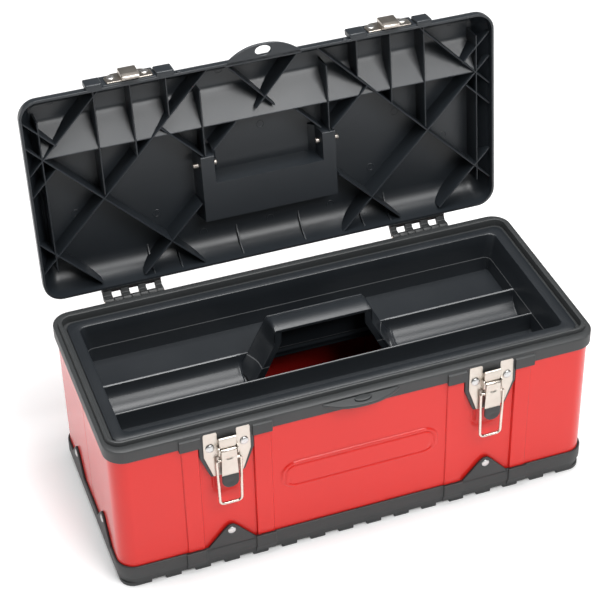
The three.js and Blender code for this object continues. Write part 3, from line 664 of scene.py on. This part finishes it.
def make_lever_grip(hand, x):
    """A moulded thumb grip: rounded sections carried down to a half-round end, with a shallow thumb hollow."""
    turn = np.linspace(0.12, math.pi / 2, 9)
    z = np.concatenate([119.4 - 8.6 * np.cos(turn), np.linspace(120.4, 125.6, 6), [126.3, 126.7]])
    half = np.concatenate([8.7 * np.sin(turn), np.full(6, 8.7), [8.6, 8.2]])
    deep = np.concatenate([1.5 * np.sin(turn) ** 0.4, np.full(6, 1.5), [1.4, 1.0]])
    xs = np.linspace(-1, 1, 15)
    radius = np.minimum(0.95 * deep, 0.5 * half)
    points, outward = ring(half, -122.4 - deep, -122.4 + 0.8 * deep, radius, xs * 0.2, np.array([-122.5, -122.3]), 3)
    points[:, :len(xs), 0] = xs[None] * (half - radius)[:, None]
    hollow = np.exp(-(points[..., 0] / 4.2) ** 2 - ((z[:, None] - 118) / 2.6) ** 2) * (outward[:, 1] < -0.9)
    points[..., 1] += 0.7 * hollow
    points[..., 0] += x
    grip = Surface()
    grip.closed_rows(raised(points, z[:, None]))
    grip.piece(f"moulded_grip_{hand}", f"lever_{hand}", "grip_plastic", GRIP_BLACK, (f"lever_grip_{hand}",))


def make_bail(hand, x):
    """A round wire frame: in through the lever's cheeks at the top, down both sides and across the bottom."""
    corners = np.array([(5.2, 145), (12.2, 145), (11.2, 88.5), (-11.2, 88.5), (-12.2, 145), (-5.2, 145)])
    path = bent(corners, [1, 2.2, 4.5, 4.5, 2.2, 1]) + (x, 0)
    bail = Surface()
    tube(bail, laid(path, -120, "y"), 1.5, (0, 1, 0), 14)
    bail.piece(f"bent_bail_{hand}", f"bail_{hand}", "wire_steel", WIRE_STEEL, (f"bail_{hand}",))


def make_lever_pin(hand, x):
    pin = Surface()
    ends = [(1.2, -10.42), (1.6, -10.3), (1.6, -9.8), (1.6, 9.8), (1.6, 10.3), (1.2, 10.42)]
    turned(pin, ends, (x, -120, 156), (1, 0, 0), 16)
    pin.piece(f"turned_lever_pin_{hand}", "box", "nickel_plate", NICKEL, (f"lever_pin_{hand}",))


def make_latches():
    for hand, x in (("left", -LATCH_X), ("right", LATCH_X)):
        make_latch_plate(f"latch_plate_{hand}", x)
        make_lever(hand, x)
        make_lever_grip(hand, x)
        make_bail(hand, x)
        make_lever_pin(hand, x)


# ---------------------------------------------------------------- lift-out tray
TRAY_DIVIDER = 150.0
CHANNEL_Y, CHANNEL_R = -1.7, 21.4


def tray_floor(x, y):
    """Height of the tray's inside: two flat bins and a half-round channel between two thin dividers."""
    channel = TRAY_DIVIDER - np.sqrt(np.maximum(CHANNEL_R ** 2 - (y - CHANNEL_Y) ** 2, 0))
    side = np.abs(x)
    channel = channel - 2 * (1 - ease(80.5, 82.6, side)) + 0.9 * np.exp(-((side - 83.4) / 0.8) ** 2)
    front, rear = 131 + 0 * y, 134.6 + 0 * y
    front_wall = TRAY_DIVIDER - 12 * np.maximum(-25.2 - y, 0)
    rear_wall = TRAY_DIVIDER - 12 * np.maximum(y - 22.0, 0)
    height = np.where(y < -23.6, smooth_max(front, front_wall, 4), channel)
    height = np.where(y > 20.2, smooth_max(rear, rear_wall, 4), height)
    outer_front = TRAY_DIVIDER - 12 * np.maximum(y + 84.2, 0)
    outer_rear = TRAY_DIVIDER - 12 * np.maximum(84.0 - y, 0)
    crest = 0.7 * (np.exp(-((y + 24.3) / 0.8) ** 2) + np.exp(-((y - 21.1) / 0.8) ** 2) * (side > 80))
    height = height + crest
    ends = TRAY_DIVIDER + 1 - 14 * np.maximum(225.8 - np.abs(x), 0)
    height = smooth_max(smooth_max(height, outer_front, 4), smooth_max(outer_rear, ends, 4), 4)
    return np.minimum(height, TRAY_DIVIDER + 1.4)


def make_tray():
    """Rings carried over the flange and down the walls, then the floor as a height over the ring's filling."""
    xs = stations(-216, 216, 8, mirrored([(208, 216), (60, 88)]), 1.2)
    ys = stations(-76, 76, 5, [(-32, -20), (15, 28)], 0.6)
    profile = np.array([  # half length, front, rear, radius, height
        (242.2, -96.4, 96.4, 9, 177.2), (242.5, -96.7, 96.7, 9.2, 177.8), (242.4, -96.6, 96.6, 9, 178.9),
        (241.8, -96.0, 96.0, 8.6, 179.3), (232.0, -86.6, 86.6, 8.4, 179.3), (231.1, -85.8, 85.8, 8, 178.9),
        (230.8, -85.5, 85.5, 8, 178.2), (228.6, -85.0, 84.8, 8, 165), (226.6, -84.5, 84.3, 8, 153),
        (226.2, -84.4, 84.2, 8, 151.4)])
    half_x, low, high, radius, z = profile.T
    points, _ = ring(half_x, low, high, radius, xs, ys, 8)
    inner = filling(points[-1], xs, ys, 8)
    tray = Surface()
    tray.grid(raised(points, z[:, None]), wrap_columns=True)
    x, y = inner[..., 0], inner[..., 1]
    height = tray_floor(x, y)
    rim = np.zeros(height.shape, bool)
    rim[[0, -1]] = rim[:, [0, -1]] = True
    height = np.where(rim, 151.4, height)
    middle_x = (x[:-1, :-1] + x[1:, 1:]) / 2
    middle_y = (y[:-1, :-1] + y[1:, 1:]) / 2
    keep = ~((np.abs(middle_x) < 74) & (middle_y > -22.6) & (middle_y < 18.4))
    tray.grid(raised(inner, height), keep=keep)
    made = tray.piece("moulded_tray", "tray", "tray_plastic", TRAY_BLACK, ("tray",), sharp=40)
    thicken(made, 2.0)


def thicken(made, thickness, inward=-1):
    """Gives an open sheet its wall, and keeps the result in the mesh."""
    wall = made.modifiers.new("wall", "SOLIDIFY")
    wall.thickness, wall.offset, wall.use_even_offset = thickness * MM, inward, False
    keep_modifiers(made)


def keep_modifiers(made):
    graph = bpy.context.evaluated_depsgraph_get()
    mesh = bpy.data.meshes.new_from_object(made.evaluated_get(graph))
    made.modifiers.clear()
    made.data = mesh


def arch(corners, radius, count=120):
    """A left-to-right arch given by its left half, rounded and cut into even steps."""
    left = np.array(corners, float)
    both = np.concatenate([left, left[::-1] * (-1, 1)])
    path = bent(both, [*radius, *radius[::-1]], 9)
    steps = np.linalg.norm(np.diff(path, axis=0), axis=1)
    length = np.concatenate([[0], np.cumsum(steps)])
    even = np.linspace(0, length[-1], count)
    return np.stack([np.interp(even, length, path[:, i]) for i in (0, 1)], -1)


def make_tray_handle():
    """The carrying arch: two arches, front and back, joined by a sheet that crowns over the grip, folds down
    into a lip at the front and stands on broad flared legs; a panel closes its back."""
    front = arch([(-79, 127), (-74, 137), (-53, 175), (-52.6, 194.2)], [4, 8, 7, 2.5])
    back = arch([(-84, 132), (-79, 142), (-73, 152), (-52.4, 192.6)], [4, 6, 6, 3.5])
    across = np.concatenate([[-0.13, -0.09, -0.04], np.linspace(0, 1, 29)])
    t = np.clip(across, 0, 1)[None, :, None]
    sheet = front[:, None] * (1 - t) + back[:, None] * t
    on_grip = ease(178, 192, sheet[..., 1])
    on_leg = 1 - ease(150, 180, sheet[..., 1])
    crown = 3.6 * np.sin(math.pi * np.clip(across, 0, 1)[None]) ** 0.8 * on_grip
    hollow = 2.5 * np.sin(math.pi * np.clip(across, 0, 1)[None]) * on_leg * np.sign(sheet[..., 0])
    fold = 24 * np.minimum(across, 0)[None] * on_grip
    y = np.broadcast_to(-9.5 + 27.8 * np.clip(across, 0, 1)[None], crown.shape)
    points = np.stack([sheet[..., 0] - hollow, y, sheet[..., 1] + crown + fold], -1)
    handle = Surface()
    handle.grid(points)
    made = handle.piece("tray_handle", "tray", "tray_plastic", TRAY_BLACK, (), sharp=40)
    face_up(made)
    thicken(made, 2.2)
    back_panel = Surface()
    outline = rounded([(-71, 150), (71, 150), (50, 192), (-50, 192)], 3)
    slab(back_panel, outline, 15.8, 18.0, 0.6, "y")
    slab(back_panel, box_outline(-52, 52, 188, 193.8, 0.7), 17.0, 18.4, 0.5, "y")
    for side in (-1, 1):
        leg = [(side * 44.5, 193), (side * 52.2, 193), (side * 52.6, 176), (side * 74, 137), (side * 77, 130),
               (side * 68, 130), (side * 64.5, 137), (side * 45.2, 177)]
        slab(back_panel, rounded(leg, [1, 1, 7, 6, 1, 1, 6, 7], 5), -9.4, -7.0, 0.7, "y")
    back_panel.piece("tray_handle_frame", "tray", "tray_plastic", TRAY_BLACK)


def face_up(made):
    """Turns an open sheet so that its faces point up and outwards."""
    mesh = made.data
    normals = np.empty(len(mesh.polygons) * 3)
    mesh.polygons.foreach_get("normal", normals)
    if normals.reshape(-1, 3)[:, 2].sum() < 0:
        mesh.flip_normals()


# ---------------------------------------------------------------- lid, drawn shut and then opened
LID_OPEN = math.radians(-96.2)
PIN_LOW, PIN_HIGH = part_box("hinge_pin_left")
HINGE_Y = (PIN_LOW[1] + PIN_HIGH[1]) / 2 / MM
HINGE_Z = (PIN_LOW[2] + PIN_HIGH[2]) / 2 / MM
LID_X, LID_Y, LID_RIM = 250.5, 110.5, 181.0


def open_lid(points):
    """Turns shut-lid points about the hinge line to where the lid stands open."""
    y, z = points[:, 1] - HINGE_Y, points[:, 2] - HINGE_Z
    c, s = math.cos(LID_OPEN), math.sin(LID_OPEN)
    return np.stack([points[:, 0], HINGE_Y + c * y - s * z, HINGE_Z + s * y + c * z], -1)


def lid_depth(x, y, skin=0.0):
    """Depth of the lid's panel behind its rim: flat, but for the sloping groove along it and the handle's
    recess, which stand towards the rim. The outer skin is a wall's thickness further back."""
    u, v = np.abs(x), 113 - y
    flat = 29 + skin
    slope = 6 + 23 * np.maximum((v - 158.4) / 32.1, (158.4 + 0.9 * skin - v) / 5.0)
    slope = slope + 4 * skin * np.maximum(u - 226, 0)
    well = np.maximum(np.maximum(u - 73.5, 50 - v), v - 93.5)
    arms = np.maximum(np.maximum(u - 73.5, 59.1 - u), np.maximum(50 - v, v - 125))
    recess = 5 + 9 * np.maximum(smooth_min(well, arms, 0.6) + skin, 0)
    return smooth_min(smooth_min(flat, slope + skin, 2.2), recess + skin, 1.6)


def lid_wall(t, rear):
    """Inset and depth of the lid's inner wall, t from 0 at the rim to 1 at the panel. The sides stand and
    then lean in; the rear is a quarter-round cove. rear blends from one to the other."""
    side_in = np.interp(t, [0, 0.25, 0.32, 0.86, 1], [0, 0, 0.5, 11.6, 15.5])
    side_depth = np.interp(t, [0, 0.25, 0.32, 0.86, 1], [0, 7.3, 9.0, 27.6, 29])
    angle = np.clip((t - 0.2) / 0.8, 0, 1) * math.pi / 2
    rear_in = 24 * (1 - np.cos(angle))
    rear_depth = 5 * np.clip(t / 0.2, 0, 1) + 24 * np.sin(angle)
    return side_in, rear_in, side_depth * (1 - rear) + rear_depth * rear


def make_lid():
    """Rings from the inner panel out to the rim and back up the outside, with both panels filled in."""
    steep = mirrored([(57, 61), (71, 78), (226, 230)])
    xs = stations(-230, 230, 6, steep, 0.7)
    ys = stations(-90, 82, 4.5, [(-15, -9), (-79, -74), (-50, -33), (15, 25), (58, 66)], 0.75)
    t = np.concatenate([np.linspace(1, 0.86, 4), np.linspace(0.8, 0.38, 5), np.linspace(0.34, 0.2, 5), [0.1, 0]])
    _, outward = ring(250, -110, 110, 17.5, xs, ys, 8)
    rear = np.clip(outward[:, 1], 0, 1)
    side_in, rear_in, depth = lid_wall(t[:, None], rear[None])
    side_in, rear_in = side_in[:, 0], rear_in[:, 0]
    inner, _ = ring(LID_X - side_in, -LID_Y + side_in, LID_Y - rear_in, 17.5 - 0.85 * side_in, xs, ys, 8)
    rows = [raised(inner, LID_RIM + depth)]
    lip = np.array([(0.2, 0.0), (2.2, 0.0), (2.5, 0.3), (2.5, 3.0), (2.5, 7.2), (2.0, 9.0), (-9.2, 29.2),
                    (-10.6, 31), (-13, 31.5)])
    outset, lip_depth = lip.T
    outer, _ = ring(LID_X + outset, -LID_Y - outset, LID_Y + outset, 17.5 + 0.95 * outset, xs, ys, 8)
    rows.append(raised(outer, LID_RIM + lip_depth[:, None]))
    lid = Surface()
    lid.grid(np.concatenate(rows), wrap_columns=True)
    for outline, skin, edge in ((inner[0], 0.0, LID_RIM + depth[0]), (outer[-1], 2.5, LID_RIM + lip_depth[-1])):
        net = filling(outline, xs, ys, 8)
        height = LID_RIM + lid_depth(net[..., 0], net[..., 1], skin)
        height[[0, -1]] = LID_RIM + 29 + skin
        height[:, [0, -1]] = LID_RIM + 29 + skin
        lid.grid(raised(net, height))
    for rib in rib_lines():
        add_rib(lid, *rib)
    for u in (-133.6, -103, -35, 35, 103, 133.6):
        add_gusset(lid, u)
    for u, v in ((3, 25), (-72, 26), (72, 26), (-150, 120), (150, 120), (-205, 80), (205, 80), (-40, 208), (40, 208),
                 (0, 138), (-215, 210), (215, 210), (-120, 60), (120, 60)):
        depth = float(lid_depth(np.array(u), np.array(113.0 - v)))
        turned(lid, [(3.2, -1), (3.2, 0.0), (3.5, 0.25), (4.3, 0.25), (4.6, 0.0), (4.6, -1)],
               (u, 113 - v, LID_RIM + depth), (0, 0, -1), 20)
    add_lid_front(lid)
    lid.piece("moulded_lid", "lid", "lid_plastic", LID_BLACK, ("lid_shell",), sharp=35, on_lid=True)


def rib_lines():
    """Every stiffening rib, from (u, v) to (u, v): u along the lid and v from its hinge edge."""
    half = [(176, 107, 176, 223), (138.5, 142, 138.5, 223), (101.5, 179, 101.5, 223), (67.8, 127, 67.8, 200),
            (235, 30, 235, 200), (58, 222, 252, 28), (250, 174.5, 74, -1.5), (172, 220.5, 250, 142.5),
            (223, 145.5, 250, 118.5), (250, 65.5, 190, 5.5), (76, 72.5, 144, 4.5), (112, 168, 71, 127),
            (250, 202, 219, 171), (58.5, 131.5, 32.5, 157.5), (40, 223, -10, 168)]
    return half + [(-a, b, -c, d) for a, b, c, d in half]


def add_rib(lid, u0, v0, u1, v1, count=72):
    """A thin wall along a line: cut off at each depth where the line meets the lid's inner wall, rounded at
    its free edge, and running down into the panel."""
    s = np.array([0, 0.012, 0.03, 0.06, 0.12, 0.2, 0.35, 0.5, 0.65, 0.8, 0.9, 1.0])
    depth = 5.0 + 24.6 * s
    t_of = np.interp(depth, [0, 7.3, 9.0, 27.6, 29], [0, 0.25, 0.32, 0.86, 1])
    side_in, rear_in, _ = lid_wall(t_of, 0.0)
    angle = np.arcsin(np.clip((depth - 5) / 24, 0, 1))
    rear_in = 24 * (1 - np.cos(angle))
    limits = np.stack([-(LID_X - side_in) - 0.6, LID_X - side_in + 0.6, 2.5 + rear_in - 0.6, 223.5 - side_in + 0.6])
    du, dv = u1 - u0, v1 - v0
    low, high = np.zeros(len(s)), np.ones(len(s))
    for start, run, least, most in ((u0, du, limits[0], limits[1]), (v0, dv, limits[2], limits[3])):
        if abs(run) < 1e-6:
            continue
        a, b = (least - start) / run, (most - start) / run
        low, high = np.maximum(low, np.minimum(a, b)), np.minimum(high, np.maximum(a, b))
    along = low[:, None] + (high - low)[:, None] * np.linspace(0, 1, count)[None]
    u, v = u0 + du * along, v0 + dv * along
    panel = np.minimum(lid_depth(u, 112 - v), np.minimum(lid_depth(u, 113 - v), lid_depth(u, 114 - v)))
    depth = np.minimum(depth[:, None], panel + 0.5)
    length = math.hypot(du, dv)
    half = np.interp(s, [0, 0.012, 0.03, 1], [0.25, 0.6, 0.85, 1.15])[:, None]
    across = np.array([-dv, du]) / length
    one = np.stack([u + half * across[0], 113 - v - half * across[1], LID_RIM + depth], -1)
    two = np.stack([u - half * across[0], 113 - v + half * across[1], LID_RIM + depth], -1)
    lid.closed_rows(np.concatenate([one, two[:, ::-1]], 1))


def add_gusset(lid, u):
    """A scalloped web across the rear cove: it follows the cove at its back, and its free edge sags between
    the rim and the panel."""
    angle = np.linspace(0.05, math.pi / 2, 14)
    wall = np.stack([2.5 + 24 * (1 - np.cos(angle)), 5 + 24 * np.sin(angle)], -1)
    chord = wall[0] + (wall[-1] - wall[0]) * np.linspace(0, 1, 14)[:, None]
    free = wall * 0.5 + chord * 0.5
    outline = np.concatenate([wall + np.array([-0.5, 0.5]), free[::-1]])
    outline = np.stack([113 - outline[:, 0], LID_RIM + outline[:, 1]], -1)
    slab(lid, outline, u - 0.9, u + 0.9, 0.3, "x", 2)


def washer(surface, outer, inner, low, high, edge=0.6):
    """A flat piece with a hole: both outlines carry the same number of points, joined over and under."""
    rows = [(outer, low + edge), (outer, high - edge), (drawn_in(outer, edge), high),
            (drawn_in(inner, -edge), high), (inner, high - edge), (inner, low + edge),
            (drawn_in(inner, -edge), low), (drawn_in(outer, edge), low)]
    rows = np.array([laid(outline, height, "z") for outline, height in rows])
    surface.grid(rows, wrap_rows=True, wrap_columns=True)


def evenly(outline, centre, count):
    """An outline's points at even angles round a centre, found by crossing its sides."""
    rel = np.asarray(outline) - centre
    angle = np.unwrap(np.arctan2(rel[:, 1], rel[:, 0]))
    if angle[-1] < angle[0]:
        rel, angle = rel[::-1], angle[::-1]
    turn = angle[0] + np.linspace(0, TAU, count, endpoint=False)
    angle = np.append(angle, angle[0] + TAU)
    rel = np.vstack([rel, rel[:1]])
    return np.stack([np.interp(turn, angle, rel[:, i]) for i in (0, 1)], -1) + centre, turn


def add_lid_front(lid):
    """Hoods that cover the collar's ribs, keeper pads, small stops and the thumb tab on the lid's front."""
    for side in (-1, 1):
        for near, far in ((93, 111.5), (166.5, 183.5)):
            a, b = sorted((side * near, side * far))
            slab(lid, box_outline(a, b, 181, 198, 1.6), -118, -111.5, 1.2, "y")
        a, b = sorted((side * 111, side * 167))
        slab(lid, box_outline(a, b, 181.4, 204, 1.6), -114.8, -111.5, 0.6, "y")
        slab(lid, box_outline(side * 88 - 2.2, side * 88 + 2.2, 181.2, 186, 1), -114.6, -112, 0.8, "y")
    outer, turn = evenly(tab_outline(41, -111.5, -127), np.array([0, -119]), 96)
    hole = np.stack([8.4 * np.cos(turn), -119.6 + 5.2 * np.sin(turn)], -1)
    washer(lid, outer, hole, 181, 184, 0.6)


def make_keepers():
    """The lid's keepers: a flat plate with a hooked tongue pressed up from its middle."""
    for hand, x in (("left", -LATCH_X), ("right", LATCH_X)):
        keeper = Surface()
        outline = rounded([(x - 24, 183), (x + 24, 183), (x + 24, 197), (x + 15, 203), (x - 15, 203), (x - 24, 197)],
                          [1.5, 1.5, 4, 5, 5, 4], 4)
        slab(keeper, outline, -116.3, -115.1, 0.4, "y")
        hook = rounded([(-115.6, 183.4), (-117.6, 182.6), (-118.2, 177.4), (-121.2, 177.2), (-122.8, 183),
                        (-124, 196.2), (-122.6, 198.6), (-119, 197.4), (-115.6, 195.6)],
                       [0.6, 2, 1.2, 1.4, 3, 2, 1.2, 3, 0.6], 5)
        slab(keeper, hook, x - 9.2, x + 9.2, 1.2, "x")
        keeper.piece(f"pressed_keeper_{hand}", "lid", "nickel_plate", NICKEL, (f"keeper_{hand}",), on_lid=True)


def make_lid_handle():
    """The folding handle in the lid's outer recess: a broad grip, two arms with round eyes, and its pins."""
    handle = Surface()
    slab(handle, box_outline(-70, 70, 113 - 84, 113 - 57, 9, 7), 192.5, 211.3, 4.5, "z", 5)
    for side in (-1, 1):
        eye = np.linspace(0, TAU, 28, endpoint=False)
        low, high = sorted((side * 62.6, side * 70))
        slab(handle, rounded([(0.5, 191.0), (32, 193.0), (32, 203), (0.5, 202.0)], 1.0), low, high, 1.2, "x")
        slab(handle, np.stack([0.5 + 5.9 * np.cos(eye), 196.5 + 5.9 * np.sin(eye)], -1), low, high, 0.9, "x")
    handle.piece("folding_handle", "carry_handle", "lid_plastic", LID_BLACK, ("lid_handle",), on_lid=True)
    for hand, side in (("left", -1), ("right", 1)):
        pin = Surface()
        ends = [(1.8, 54.2), (2.8, 54.6), (3.0, 55.2), (3.0, 79.2), (2.8, 79.8), (1.8, 80.2)]
        turned(pin, ends, (0, 0.5, 196.5), (side, 0, 0), 24)
        pin.piece(f"turned_handle_pin_{hand}", "lid", "nickel_plate", NICKEL, (f"handle_pin_{hand}",), on_lid=True)


# ---------------------------------------------------------------- hinges
HINGE_EDGES = (129.5, 137, 146.5, 155, 164.5, 174, 183.5, 193.5)


def make_hinges():
    """Moulded hinges: toothed leaves whose teeth end in knuckles round a steel pin."""
    for hand, side in (("left", -1), ("right", 1)):
        lid_leaf, body_leaf, pin = Surface(), Surface(), Surface()
        knuckle = np.linspace(0, TAU, 24, endpoint=False)
        barrel = np.stack([HINGE_Y + 3.6 * np.cos(knuckle), HINGE_Z + 3.6 * np.sin(knuckle)], -1)
        for index in range(7):
            near, far = HINGE_EDGES[index] + 0.15, HINGE_EDGES[index + 1] - 0.15
            low, high = sorted((side * near, side * far))
            if index % 2:
                arm = rounded([(115.6, 165), (124.5, 170.6), (126.8, 173), (121, 176), (115.6, 171.6)], 1.0)
                slab(body_leaf, arm, low, high, 0.4, "x")
                slab(body_leaf, barrel, low, high, 0.4, "x")
            else:
                arm = rounded([(116, 181.6), (120.2, 180.2), (120.7, 175.2), (127.4, 174.6), (126.5, 180.5),
                               (117.5, 186.6), (116, 188.3)], [0.5, 1, 1, 1, 2.5, 1.5, 0.5])
                slab(lid_leaf, arm, low, high, 0.5, "x")
                slab(lid_leaf, barrel, low, high, 0.4, "x")
        low, high = sorted((side * 129.5, side * 193.5))
        slab(body_leaf, box_outline(low, high, 163, 172, 1.2), 115.3, 117.6, 0.5, "y")
        slab(lid_leaf, box_outline(low, high, 181.6, 188.5, 1.2), 113.3, 116.4, 0.5, "y")
        slab(lid_leaf, box_outline(low, high, 182.4, 187.2, 1.0), 116.0, 118.4, 0.5, "y")
        ends = [(1.0, 129.0), (1.5, 129.4), (1.5, 193.6), (1.0, 194)]
        turned(pin, ends, (0, HINGE_Y, HINGE_Z), (side, 0, 0), 16)
        lid_leaf.piece(f"moulded_lid_leaf_{hand}", "lid", "hinge_plastic", HINGE_BLACK,
                       (f"hinge_lid_leaf_{hand}",), on_lid=True)
        body_leaf.piece(f"moulded_body_leaf_{hand}", "box", "hinge_plastic", HINGE_BLACK,
                        (f"hinge_body_leaf_{hand}",))
        pin.piece(f"turned_hinge_pin_{hand}", "box", "wire_steel", WIRE_STEEL, (f"hinge_pin_{hand}",))


# ---------------------------------------------------------------- floor and assembly
def make_floor():
    """A plain pale sheet, just below the feet, with painted light: it glows faintly near the box and white further
    out.
    """
    floor = bpy.data.meshes.new("floor")
    reach = 6.0
    corners = [(-reach, -reach, 0), (reach, -reach, 0), (reach, reach, 0), (-reach, reach, 0)]
    floor.from_pydata(corners, [], [(0, 1, 2, 3)])
    sheet = bpy.data.objects.new("floor", floor)
    bpy.context.scene.collection.objects.link(sheet)
    paint = Paint("pale_floor_painted_glow")
    paint.drive("Base Color", paint.blend(paint.noise(3.0), (0.90, 0.90, 0.90), (0.93, 0.93, 0.93)))
    paint.drive("Roughness", 0.8 + 0.1 * paint.noise(30.0))
    # Painted light: the floor glows more the further it lies from the box, so its far reaches stay white.
    reach = paint.node("ShaderNodeVectorMath", {"operation": "LENGTH"}, paint.place, out=1)
    paint.drive("Emission Color", paint.blend((reach - 0.7) * 0.8, (0.12, 0.12, 0.12), (1, 1, 1)))
    paint.drive("Emission Strength", 1.0)
    floor.materials.append(paint.material)


make_camera()
make_studio()
make_floor()
make_body_shell()
make_base()
make_collar()
make_rivets()
make_latches()
make_tray()
make_tray_handle()
make_lid()
make_keepers()
make_lid_handle()
make_hinges()
